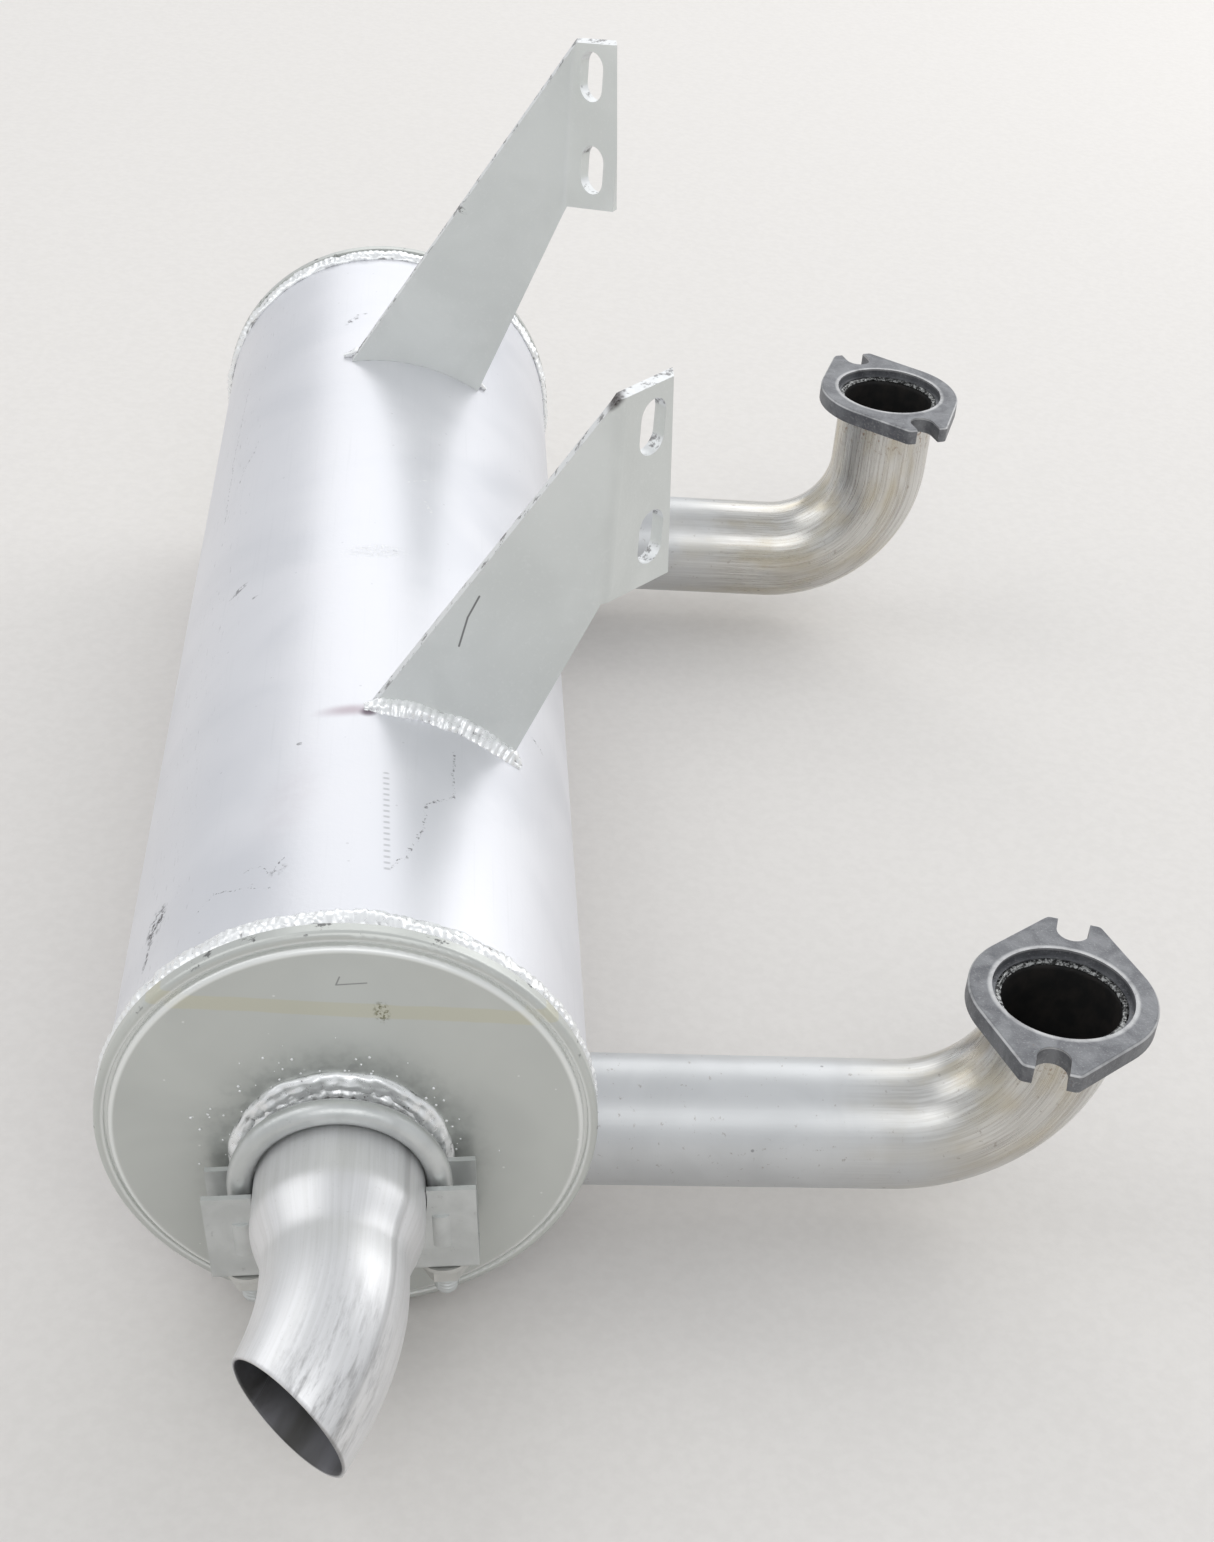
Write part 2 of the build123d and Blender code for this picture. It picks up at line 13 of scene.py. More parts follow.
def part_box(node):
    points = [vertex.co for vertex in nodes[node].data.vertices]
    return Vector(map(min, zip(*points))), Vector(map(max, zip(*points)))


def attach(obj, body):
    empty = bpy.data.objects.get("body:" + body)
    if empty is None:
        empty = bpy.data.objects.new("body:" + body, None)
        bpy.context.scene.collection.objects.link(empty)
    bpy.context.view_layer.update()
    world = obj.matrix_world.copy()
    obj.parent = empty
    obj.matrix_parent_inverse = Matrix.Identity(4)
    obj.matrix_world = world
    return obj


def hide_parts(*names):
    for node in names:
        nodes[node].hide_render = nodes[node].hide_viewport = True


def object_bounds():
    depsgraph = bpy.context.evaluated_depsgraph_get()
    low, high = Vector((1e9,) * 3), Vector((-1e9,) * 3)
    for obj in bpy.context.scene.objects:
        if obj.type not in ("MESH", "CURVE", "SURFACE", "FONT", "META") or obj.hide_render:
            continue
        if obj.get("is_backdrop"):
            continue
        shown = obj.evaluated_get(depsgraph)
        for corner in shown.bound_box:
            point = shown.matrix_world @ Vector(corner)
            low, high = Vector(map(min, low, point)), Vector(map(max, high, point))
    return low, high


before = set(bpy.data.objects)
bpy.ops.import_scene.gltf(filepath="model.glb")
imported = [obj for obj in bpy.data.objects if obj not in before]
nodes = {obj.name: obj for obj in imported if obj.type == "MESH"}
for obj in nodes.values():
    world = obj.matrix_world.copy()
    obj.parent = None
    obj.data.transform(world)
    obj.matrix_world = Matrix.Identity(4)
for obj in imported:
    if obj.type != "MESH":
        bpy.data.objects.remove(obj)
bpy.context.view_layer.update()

MM = 0.001
TAU = 2 * math.pi
UP = Vector((0, 0, 1))

# ------------------------------------------------------------------ the frame's own sizes
shell_low, shell_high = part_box("shell")
BODY_X = (shell_low.x + shell_high.x) / 2
BODY_Z = (shell_low.z + shell_high.z) / 2
SHELL_R = (shell_high.x - shell_low.x) / 2
BODY_FRONT = shell_low.y
CAP_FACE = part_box("front_end_cap")[0].y
outlet_low, outlet_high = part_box("outlet_weld")
outlet_middle = (outlet_low + outlet_high) / 2
OUTLET = Vector((outlet_middle.x, CAP_FACE, outlet_middle.z))


def around_body(degrees, y, out=0.0):
    """Point over the shell: angle from the top towards the inlets, station, height above it."""
    a = math.radians(degrees)
    r = SHELL_R + out
    return Vector((BODY_X + r * math.sin(a), y, BODY_Z + r * math.cos(a)))


# ------------------------------------------------------------------ node trees
class Finish:
    """One material and short names for building its nodes."""

    def __init__(self, name):
        self.material = bpy.data.materials.new(name)
        self.material.use_nodes = True
        self.tree = self.material.node_tree
        self.shader = self.tree.nodes["Principled BSDF"]
        self.position = self.node("ShaderNodeTexCoord").outputs["Object"]

    def node(self, kind, **settings):
        """New node of a kind, with its settings."""
        made = self.tree.nodes.new(kind)
        for key, value in settings.items():
            setattr(made, key, value)
        return made

    def put(self, socket, value):
        """A number, colour or vector is set on the socket; an output is linked to it."""
        if isinstance(value, bpy.types.NodeSocket):
            self.tree.links.new(value, socket)
        else:
            socket.default_value = value

    def math(self, operation, a, b=None):
        made = self.node("ShaderNodeMath", operation=operation)
        self.put(made.inputs[0], a)
        if b is not None:
            self.put(made.inputs[1], b)
        return made.outputs[0]

    def attribute(self, name):
        """A mesh's own number at each point, such as the distance along a tube."""
        return self.node("ShaderNodeAttribute", attribute_name=name).outputs["Fac"]

    def axes(self, vector=None):
        made = self.node("ShaderNodeSeparateXYZ")
        self.put(made.inputs[0], self.position if vector is None else vector)
        return made.outputs[0], made.outputs[1], made.outputs[2]

    def vector(self, x, y, z):
        made = self.node("ShaderNodeCombineXYZ")
        for socket, value in zip(made.inputs, (x, y, z)):
            self.put(socket, value)
        return made.outputs[0]

    def noise(self, size, detail=3.0, rough=0.5, vector=None, stretch=(1, 1, 1), warp=0.0):
        """Value noise whose blobs are about size metres, from 0 to 1."""
        mapping = self.node("ShaderNodeMapping")
        self.put(mapping.inputs["Vector"], self.position if vector is None else vector)
        mapping.inputs["Scale"].default_value = [1 / (size * s) for s in stretch]
        made = self.node("ShaderNodeTexNoise")
        self.put(made.inputs["Vector"], mapping.outputs[0])
        made.inputs["Scale"].default_value = 1.0
        made.inputs["Detail"].default_value = detail
        made.inputs["Roughness"].default_value = rough
        made.inputs["Distortion"].default_value = warp
        return made.outputs["Fac"]

    def cells(self, size, vector=None):
        """Distance to the nearest of points scattered about size metres apart."""
        mapping = self.node("ShaderNodeMapping")
        self.put(mapping.inputs["Vector"], self.position if vector is None else vector)
        mapping.inputs["Scale"].default_value = [1 / size] * 3
        made = self.node("ShaderNodeTexVoronoi")
        self.put(made.inputs["Vector"], mapping.outputs[0])
        made.inputs["Scale"].default_value = 1.0
        return made.outputs["Distance"]

    def ramp(self, value, low, high, bottom=0.0, top=1.0):
        """Smooth step of value from low to high, or from high to low where low is larger."""
        made = self.node("ShaderNodeMapRange", interpolation_type="SMOOTHSTEP")
        self.put(made.inputs["Value"], value)
        if low > high:
            low, high, bottom, top = high, low, top, bottom
        made.inputs["From Min"].default_value = low
        made.inputs["From Max"].default_value = high
        made.inputs["To Min"].default_value = bottom
        made.inputs["To Max"].default_value = top
        return made.outputs[0]

    def mix(self, factor, a, b):
        """Colour a where factor is 0, b where it is 1."""
        made = self.node("ShaderNodeMix", data_type="RGBA")
        self.put(made.inputs["Factor"], factor)
        for socket, value in ((made.inputs[6], a), (made.inputs[7], b)):
            self.put(socket, (*value, 1.0) if isinstance(value, tuple) else value)
        return made.outputs[2]

    def times(self, *values):
        result = values[0]
        for value in values[1:]:
            result = self.math("MULTIPLY", result, value)
        return result

    def most(self, *values):
        result = values[0]
        for value in values[1:]:
            result = self.math("MAXIMUM", result, value)
        return result

    def distance(self, u, v, centre, size, turn=0.0):
        """Distance from a point of a flat chart, in units of the ellipse's half sizes."""
        du = self.math("SUBTRACT", u, centre[0])
        dv = self.math("SUBTRACT", v, centre[1])
        c, s = math.cos(turn), math.sin(turn)
        along = self.math("ADD", self.times(du, c / size[0]), self.times(dv, s / size[0]))
        across = self.math("ADD", self.times(du, -s / size[1]), self.times(dv, c / size[1]))
        square = self.math("ADD", self.times(along, along), self.times(across, across))
        return self.math("SQRT", square)

    def stroke(self, u, v, points, width):
        """1 on a thin line through the points of a chart, 0 away from it."""
        nearest = None
        for a, b in zip(points, points[1:]):
            run = (b[0] - a[0], b[1] - a[1])
            length = math.hypot(*run)
            dx, dy = run[0] / length, run[1] / length
            du = self.math("SUBTRACT", u, a[0])
            dv = self.math("SUBTRACT", v, a[1])
            along = self.math("ADD", self.times(du, dx), self.times(dv, dy))
            held = self.math("MINIMUM", self.math("MAXIMUM", along, 0.0), length)
            past = self.math("SUBTRACT", along, held)
            off = self.math("SUBTRACT", self.times(dv, dx), self.times(du, dy))
            square = self.math("ADD", self.times(past, past), self.times(off, off))
            nearest = square if nearest is None else self.math("MINIMUM", nearest, square)
        return self.ramp(self.math("SQRT", nearest), width, width * 0.4)

    def bump(self, height, depth, below=None):
        """Adds a relief of depth metres to the normal, over an earlier one."""
        made = self.node("ShaderNodeBump")
        made.inputs["Strength"].default_value = 1.0
        made.inputs["Distance"].default_value = depth
        self.put(made.inputs["Height"], height)
        if below is not None:
            self.put(made.inputs["Normal"], below)
        return made.outputs[0]

    def finish(self, colour, metal, rough, normal=None):
        """Ties the results to the shader and gives the material."""
        self.put(self.shader.inputs["Base Color"], colour)
        self.put(self.shader.inputs["Metallic"], metal)
        self.put(self.shader.inputs["Roughness"], rough)
        if normal is not None:
            self.put(self.shader.inputs["Normal"], normal)
        return self.material


# ------------------------------------------------------------------ finishes
def paint_grain(f, depth=0.00004):
    """Fine dry-spray texture and the slow waves of sheet metal under it."""
    waves = f.bump(f.noise(0.045, detail=1.0), depth * 4)
    flow = f.bump(f.noise(0.0022, detail=2.0), depth, waves)
    return f.bump(f.noise(0.0006, detail=2.0), depth * 0.35, flow)


def body_chart(f):
    """Unrolled shell: metres round from the top, metres back from the front edge."""
    x, y, z = f.axes()
    angle = f.math("ARCTAN2", f.math("SUBTRACT", x, BODY_X), f.math("SUBTRACT", z, BODY_Z))
    return f.times(angle, SHELL_R), f.math("SUBTRACT", y, BODY_FRONT)


def on_chart(degrees, station):
    """Chart place of an angle from the top and a station in mm from the front edge."""
    return math.radians(degrees) * SHELL_R, station * MM


def shell_rubs(f, u, v, chart):
    """Dark rubs in the paint, broken up by noise."""
    broken = f.ramp(f.noise(0.0028, detail=4.0, rough=0.7, vector=chart), 0.46, 0.60)
    # place on the chart, half sizes in mm, slant and strength
    rubs = [
        ((-54.5, 40), (9, 5.0), 1.35, 1.0),
        ((-56.2, 27), (8, 1.3), 1.5, 0.8),
        ((-12.0, 453), (5, 1.8), 1.1, 0.8),
        ((-8.6, 459), (3, 1.0), 0.3, 0.6),
        ((-41.5, 232), (5, 2.0), 0.5, 0.7),
        ((-34.0, 218), (2, 0.8), 0.2, 0.5),
        ((-25.2, 152), (1.6, 1.2), 0.0, 0.7),
        ((-15.4, 104), (1.2, 0.8), 0.0, 0.6),
        ((-17.6, 33), (3.5, 2.2), 0.8, 0.45),
        ((19.0, 121), (5, 1.4), 0.4, 0.5),
        ((6.0, 236), (2.5, 0.7), -0.1, 0.7),
    ]
    spots = []
    for place, size, turn, strength in rubs:
        half = (size[0] * MM, size[1] * MM)
        spot = f.ramp(f.distance(u, v, on_chart(*place), half, turn), 1.15, 0.55)
        spots.append(f.times(spot, broken, strength))
    return f.most(*spots)


def shell_scratches(f, u, v, crumbs):
    """Thin crumbling scratches: points on the chart, and a width in mm."""
    hairlines = [
        ([(23.0, 107), (23.8, 80), (16.3, 71), (16.0, 56), (12.2, 42), (8.6, 32)], 0.75),
        ([(-39.0, 27), (-34.0, 33), (-30.8, 31), (-19.2, 25)], 0.45),
        ([(-27.0, 37), (-21.7, 38), (-19.0, 31), (-16.5, 39)], 0.4),
        ([(-53.0, 440), (-55.2, 375), (-54.0, 310)], 0.4),
        ([(-42.0, 365), (-49.0, 336)], 0.35),
        ([(49.6, 152), (55.8, 150)], 0.8),
        ([(104.0, 300), (112.0, 360), (109.0, 410)], 0.5),
        ([(-110.0, 120), (-118.0, 190)], 0.45),
        ([(165.0, 80), (172.0, 160), (168.0, 230)], 0.6),
    ]
    lines = []
    for points, width in hairlines:
        line = f.stroke(u, v, [on_chart(*p) for p in points], width * MM)
        lines.append(f.times(line, crumbs, 0.75))
    return f.most(*lines)


def shell_scuffs(f, u, v, chart):
    """A dotted row left by a tool's teeth, and fine scuffing where the body was dragged."""
    row = f.stroke(u, v, [on_chart(6.3, 84), on_chart(7.5, 31)], 1.4 * MM)
    teeth = f.ramp(f.math("SINE", f.times(v, TAU / (3.1 * MM))), 0.2, 0.7)
    drag = f.noise(0.0022, detail=4.0, rough=0.75, vector=chart, stretch=(0.6, 5.0, 1.0))
    from_side = f.math("ABSOLUTE", f.math("SUBTRACT", u, math.radians(-52) * SHELL_R))
    side = f.ramp(from_side, 0.022, 0.004)
    under = f.ramp(f.math("ABSOLUTE", u), 0.150, 0.215)
    return f.most(
        f.times(row, teeth, 0.28),
        f.times(f.ramp(drag, 0.60, 0.70), side, 0.30),
        f.times(f.ramp(drag, 0.57, 0.66), under, 0.5),
    )


def shell_heat(f, u, v, colour):
    """Soft smudges, and the heat mark beside the bracket's foot."""
    smudge = f.ramp(f.distance(u, v, on_chart(-16.5, 72), (0.010, 0.026), -0.2), 1.3, 0.2)
    smudge = f.times(smudge, f.ramp(f.noise(0.006), 0.3, 0.7, 0.4, 1.0), 0.30)
    colour = f.mix(smudge, colour, (0.60, 0.57, 0.60))
    heat = f.ramp(f.distance(u, v, on_chart(-3.4, 121.5), (0.0125, 0.0042), 0.1), 1.2, 0.1)
    colour = f.mix(f.times(heat, 0.62), colour, (0.34, 0.25, 0.29))
    burnt = f.ramp(f.distance(u, v, on_chart(1.0, 120.5), (0.003, 0.003)), 1.2, 0.3)
    return f.mix(f.times(burnt, 0.8), colour, (0.10, 0.06, 0.09))


def shell_paint():
    """Bright aluminium paint with rubs, scratches, crushed patches and a heat mark."""
    f = Finish("shell_paint")
    u, v = body_chart(f)
    chart = f.vector(u, v, 0.0)
    wobble = f.times(f.math("SUBTRACT", f.noise(0.006, detail=3.0), 0.5), 5 * MM)
    u_rough = f.math("ADD", u, wobble)
    v_rough = f.math("ADD", v, f.times(f.math("SUBTRACT", f.noise(0.004), 0.5), 4 * MM))
    cloud = f.noise(0.07, detail=3.0, warp=0.6)
    colour = f.mix(f.ramp(cloud, 0.3, 0.7), (0.68, 0.687, 0.72), (0.745, 0.747, 0.775))
    streak = f.noise(0.012, detail=3.0, vector=chart, stretch=(0.12, 6.0, 1.0))
    colour = f.mix(f.ramp(streak, 0.56, 0.78, 0.0, 0.35), colour, (0.66, 0.665, 0.69))
    crumbs = f.ramp(f.noise(0.0014, detail=3.0, rough=0.7, vector=chart), 0.5, 0.62)
    dark = f.most(
        shell_rubs(f, u_rough, v_rough, chart),
        shell_scratches(f, u_rough, v_rough, crumbs),
        shell_scuffs(f, u, v, chart),
    )
    colour = shell_heat(f, u, v, colour)
    # crushed paint, raised in relief, with a painted highlight lightening its colour where it
    # catches the light
    patch = f.ramp(f.distance(u_rough, v, on_chart(0.5, 234), (0.012, 0.006), 0.1), 1.2, 0.5)
    dashes = f.stroke(u_rough, v, [on_chart(13.9, 283), on_chart(16.4, 272)], 0.8 * MM)
    dashes = f.most(dashes, f.stroke(u, v, [on_chart(8.5, 294), on_chart(16.0, 301)], 0.6 * MM))
    bright = f.most(f.times(patch, crumbs), f.times(dashes, crumbs))
    colour = f.mix(f.times(bright, 0.6), colour, (0.90, 0.90, 0.88))
    colour = f.mix(dark, colour, (0.07, 0.065, 0.07))
    specks = f.ramp(f.cells(0.011), 0.055, 0.03)
    colour = f.mix(f.times(specks, 0.35), colour, (0.42, 0.42, 0.44))
    rough = f.math("ADD", f.ramp(cloud, 0.2, 0.8, 0.36, 0.45), f.times(dark, 0.2))
    relief = f.bump(f.math("SUBTRACT", bright, dark), 0.00006, paint_grain(f))
    return f.finish(colour, 0.55, rough, relief)


def cap_paint():
    """Greyer paint with a dried yellowish run across the front face."""
    f = Finish("cap_paint")
    x, y, z = f.axes()
    across = f.math("SUBTRACT", x, BODY_X)
    high = f.math("SUBTRACT", z, BODY_Z)
    cloud = f.noise(0.05, detail=3.0, warp=0.5)
    colour = f.mix(f.ramp(cloud, 0.3, 0.7), (0.52, 0.535, 0.51), (0.58, 0.595, 0.565))
    front = f.ramp(y, BODY_FRONT + 2 * MM, BODY_FRONT - 1 * MM)
    drift = f.times(f.math("SUBTRACT", f.noise(0.02), 0.5), 1.6 * MM)
    lean = f.math("ADD", f.math("ADD", high, f.times(across, 0.03)), drift)
    run = f.ramp(f.math("ABSOLUTE", f.math("SUBTRACT", lean, 50.7 * MM)), 2.9 * MM, 2.3 * MM)
    colour = f.mix(f.times(run, front, 0.75), colour, (0.565, 0.555, 0.445))
    crumbs = f.ramp(f.noise(0.0012, detail=3.0, rough=0.7), 0.47, 0.58)
    blot = f.distance(across, high, (9.6 * MM, 50 * MM), (2.6 * MM, 4.2 * MM), 0.2)
    blot = f.ramp(blot, 1.2, 0.5)
    hook = [(5 * MM, 61 * MM), (-4 * MM, 60 * MM), (-3 * MM, 63 * MM)]
    tick = f.stroke(across, high, hook, 0.35 * MM)
    colour = f.mix(f.times(blot, crumbs, front, 0.8), colour, (0.16, 0.15, 0.07))
    colour = f.mix(f.times(tick, front, 0.7), colour, (0.20, 0.20, 0.20))
    # yellowed overspray and soot thrown round the outlet's weld
    reach = f.distance(across, high, (OUTLET.x - BODY_X, OUTLET.z - BODY_Z), (0.045, 0.045))
    grime = f.ramp(f.noise(0.004, detail=4.0), 0.40, 0.66)
    soot = f.times(f.ramp(reach, 1.15, 0.70), grime, 0.42)
    colour = f.mix(f.times(soot, front), colour, (0.30, 0.31, 0.30))
    specks = f.ramp(f.cells(0.0085), 0.06, 0.035)
    colour = f.mix(f.times(specks, 0.5), colour, (0.85, 0.86, 0.84))
    # painted highlight round the groove, and chipped to dark metal in places on the shoulder
    out = f.math("SQRT", f.math("ADD", f.times(across, across), f.times(high, high)))
    edge = f.ramp(out, SHELL_R + 0.9 * MM, SHELL_R + 1.9 * MM)
    from_groove = f.math("ABSOLUTE", f.math("SUBTRACT", out, SHELL_R - 2.2 * MM))
    groove = f.ramp(from_groove, 2.4 * MM, 1.2 * MM)
    # painted highlight: the ring round the groove is lightened all the way round
    colour = f.mix(f.times(groove, front, 0.7), colour, (0.92, 0.93, 0.91))
    chips = f.ramp(f.noise(0.006, detail=5.0, rough=0.7), 0.60, 0.66)
    colour = f.mix(f.times(edge, chips, 0.85), colour, (0.10, 0.10, 0.10))
    rough = f.ramp(cloud, 0.2, 0.8, 0.34, 0.42)
    return f.finish(colour, 0.5, rough, paint_grain(f, 0.00003))


def weld_bead():
    """Painted weld: painted highlight on the crests, painted shade in the folds, a few burnt
    specks.
    """
    f = Finish("weld_bead")
    crest = f.attribute("crest")
    grit = f.noise(0.0019, detail=3.0, rough=0.6)
    # painted highlight on the crests and painted shade in the folds, from the crest height broken
    # by grit
    crest_light_fold_shade = f.ramp(f.math("ADD", crest, f.times(f.math("SUBTRACT", grit, 0.5), 0.5)), -0.12, 0.20)
    colour = f.mix(crest_light_fold_shade, (0.36, 0.36, 0.36), (0.90, 0.91, 0.91))
    specks = f.ramp(f.noise(0.0032, detail=5.0, rough=0.75), 0.63, 0.68)
    colour = f.mix(f.times(specks, 0.7), colour, (0.09, 0.09, 0.095))
    rough = f.ramp(grit, 0.3, 0.7, 0.26, 0.40)
    return f.finish(colour, 0.6, rough, f.bump(grit, 0.00010))


def port_weld():
    """Bare weld inside the flange's bore: sooty, with a wet-looking shine."""
    f = Finish("port_weld")
    grit = f.noise(0.0016, detail=4.0, rough=0.7)
    colour = f.mix(f.ramp(grit, 0.44, 0.62), (0.020, 0.020, 0.020), (0.34, 0.345, 0.34))
    return f.finish(colour, 0.85, f.ramp(grit, 0.3, 0.7, 0.16, 0.38), f.bump(grit, 0.0004))


def inner_steel():
    """Bare hazy steel of the parts inside the body."""
    f = Finish("inner_steel")
    haze = f.noise(0.01, detail=4.0)
    colour = f.mix(f.ramp(haze, 0.35, 0.65), (0.20, 0.19, 0.18), (0.36, 0.35, 0.34))
    return f.finish(colour, 0.85, f.ramp(haze, 0.3, 0.7, 0.4, 0.6), f.bump(haze, 0.00005))


def tube_lines(f, spread=0.0011):
    """Drawing lines that run the tube's length, from its along and around attributes."""
    chart = f.vector(f.attribute("around"), f.attribute("along"), 0.0)
    return f.noise(spread, detail=4.0, rough=0.65, vector=chart, stretch=(1.0, 45.0, 1.0)), chart


def inlet_steel(name, painted_to, length):
    """Silver paint by the body, then bare aluminised tube, tinted and stretched in the bend."""
    f = Finish(name)
    lines, chart = tube_lines(f)
    along = f.attribute("along")
    inside = f.attribute("inside")
    torn = f.math("ADD", along, f.times(f.math("SUBTRACT", f.noise(0.03, detail=4.0), 0.5), 0.075))
    bare = f.ramp(torn, painted_to - 0.030, painted_to + 0.040)
    cloud = f.noise(0.03, detail=3.0, warp=0.8)
    paint = f.mix(f.ramp(cloud, 0.3, 0.7), (0.57, 0.58, 0.585), (0.63, 0.64, 0.645))
    metal = f.mix(f.ramp(lines, 0.36, 0.64), (0.50, 0.485, 0.455), (0.68, 0.67, 0.64))
    tint = f.ramp(f.noise(0.018, detail=4.0, vector=chart, stretch=(0.7, 2.0, 1.0)), 0.42, 0.70)
    metal = f.mix(f.times(tint, 0.55), metal, (0.50, 0.435, 0.30))
    haze = f.noise(0.035, detail=3.0, vector=chart, stretch=(0.5, 1.6, 1.0), warp=1.0)
    haze = f.ramp(haze, 0.5, 0.75)
    metal = f.mix(f.times(haze, 0.4), metal, (0.33, 0.32, 0.315))
    colour = f.mix(bare, paint, metal)
    drops = f.ramp(f.noise(0.0035, detail=5.0, rough=0.7, vector=chart), 0.62, 0.68)
    colour = f.mix(f.times(drops, 0.5), colour, (0.24, 0.20, 0.17))
    rust = f.ramp(f.noise(0.0028, detail=4.0, rough=0.7), 0.56, 0.64)
    near_end = f.ramp(along, length - 0.026, length - 0.006)
    colour = f.mix(f.times(rust, near_end, 0.7), colour, (0.20, 0.10, 0.035))
    nick = f.ramp(f.cells(0.016, vector=chart), 0.05, 0.03)
    colour = f.mix(f.times(nick, 0.6), colour, (0.16, 0.16, 0.165))
    soot = f.ramp(f.noise(0.006, detail=4.0), 0.35, 0.7)
    black = f.mix(soot, (0.004, 0.004, 0.004), (0.016, 0.013, 0.011))
    colour = f.mix(inside, colour, black)
    rough = f.math("SUBTRACT", 0.42, f.times(bare, 0.14))
    rough = f.math("ADD", rough, f.times(inside, 0.45))
    rough = f.math("ADD", rough, f.times(f.math("SUBTRACT", lines, 0.5), 0.15))
    shine = f.math("SUBTRACT", f.math("ADD", 0.55, f.times(bare, 0.35)), f.times(inside, 0.85))
    relief = f.bump(lines, 0.00002, paint_grain(f, 0.00003))
    return f.finish(colour, f.math("MAXIMUM", shine, 0.0), rough, relief)


def flange_steel():
    """Hot-rolled plate: blue-grey scale, edges and faces rubbed bright, a little rust."""
    f = Finish("flange_steel")
    x, y, z = f.axes()
    grain = f.noise(0.0011, detail=4.0, rough=0.7)
    blotch = f.noise(0.010, detail=4.0, rough=0.6, warp=0.5)
    colour = f.mix(f.ramp(blotch, 0.3, 0.7), (0.105, 0.108, 0.118), (0.20, 0.205, 0.215))
    colour = f.mix(f.times(f.ramp(grain, 0.52, 0.70), 0.6), colour, (0.36, 0.36, 0.365))
    for port in ("front", "rear"):
        low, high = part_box(port + "_inlet_flange")
        centre = ((low.x + high.x) / 2, (low.y + high.y) / 2)
        near = f.ramp(f.math("ABSOLUTE", f.math("SUBTRACT", y, centre[1])), 0.060, 0.058)
        radius = f.distance(x, y, centre, (1.0, 1.0))
        rim = f.ramp(f.math("ABSOLUTE", f.math("SUBTRACT", radius, 25.3 * MM)), 1.6 * MM, 0.2 * MM)
        level = f.math("SUBTRACT", high.z, z)
        face = f.ramp(level, 0.9 * MM, 0.2 * MM)
        from_edge = f.math("ABSOLUTE", f.math("SUBTRACT", level, 0.45 * MM))
        chamfer = f.ramp(from_edge, 0.5 * MM, 0.15 * MM)
        wear = f.most(f.times(rim, face), chamfer)
        wear = f.times(wear, near, f.ramp(blotch, 0.25, 0.6, 0.25, 0.9))
        colour = f.mix(wear, colour, (0.50, 0.50, 0.50))
    rust = f.ramp(f.noise(0.005, detail=5.0, rough=0.75), 0.66, 0.72)
    colour = f.mix(f.times(rust, 0.5), colour, (0.17, 0.085, 0.04))
    relief = f.bump(grain, 0.00012, f.bump(blotch, 0.0003))
    return f.finish(colour, 0.6, f.ramp(grain, 0.3, 0.7, 0.38, 0.56), relief)


def bracket_paint():
    """Thin grey-green paint on plate: mottle, rubbed cut edges, a scratch, a burnt corner."""
    f = Finish("bracket_paint")
    x, y, z = f.axes()
    mottle = f.noise(0.0016, detail=4.0, rough=0.7)
    cloud = f.noise(0.04, detail=3.0, warp=0.6)
    colour = f.mix(f.ramp(cloud, 0.3, 0.7), (0.66, 0.68, 0.66), (0.73, 0.75, 0.73))
    colour = f.mix(f.times(f.ramp(mottle, 0.50, 0.72), 0.30), colour, (0.80, 0.815, 0.80))
    crumbs = f.ramp(f.noise(0.0016, detail=4.0, rough=0.75), 0.46, 0.56)
    across = f.math("SUBTRACT", x, BODY_X)
    high = f.math("SUBTRACT", z, BODY_Z)
    front_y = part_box("front_bracket")[0].y
    is_front = f.ramp(y, front_y + 0.10, front_y + 0.08)
    arc = [(37 * MM, 120 * MM), (33.5 * MM, 112 * MM), (31 * MM, 101 * MM)]
    scratch = f.times(f.stroke(across, high, arc, 0.45 * MM), is_front, 0.8)
    corner = f.distance(across, high, (74 * MM, 190.5 * MM), (5.5 * MM, 3.2 * MM), 0.4)
    burnt = f.times(f.ramp(corner, 1.3, 0.6), is_front)
    scuff = f.distance(across, high, (29 * MM, 145.5 * MM), (4.5 * MM, 1.5 * MM), -0.5)
    scuff = f.times(f.ramp(scuff, 1.2, 0.5), f.math("SUBTRACT", 1.0, is_front), crumbs)
    facing = f.axes(f.node("ShaderNodeTexCoord").outputs["Normal"])[2]
    edge = f.ramp(f.math("ABSOLUTE", facing), 0.15, 0.35)
    colour = f.mix(f.times(edge, 0.75), colour, (0.78, 0.79, 0.80))
    graze = f.ramp(f.noise(0.0045, detail=5.0, rough=0.7), 0.52, 0.62)
    colour = f.mix(f.times(edge, graze, 0.85), colour, (0.17, 0.165, 0.165))
    colour = f.mix(f.most(scratch, f.times(scuff, 0.85)), colour, (0.09, 0.085, 0.085))
    burnt = f.times(burnt, f.ramp(mottle, 0.3, 0.6, 0.7, 1.0))
    colour = f.mix(burnt, colour, (0.045, 0.035, 0.035))
    rough = f.ramp(mottle, 0.3, 0.7, 0.40, 0.52)
    relief = f.bump(mottle, 0.00006, paint_grain(f, 0.00002))
    return f.finish(colour, 0.5, rough, relief)


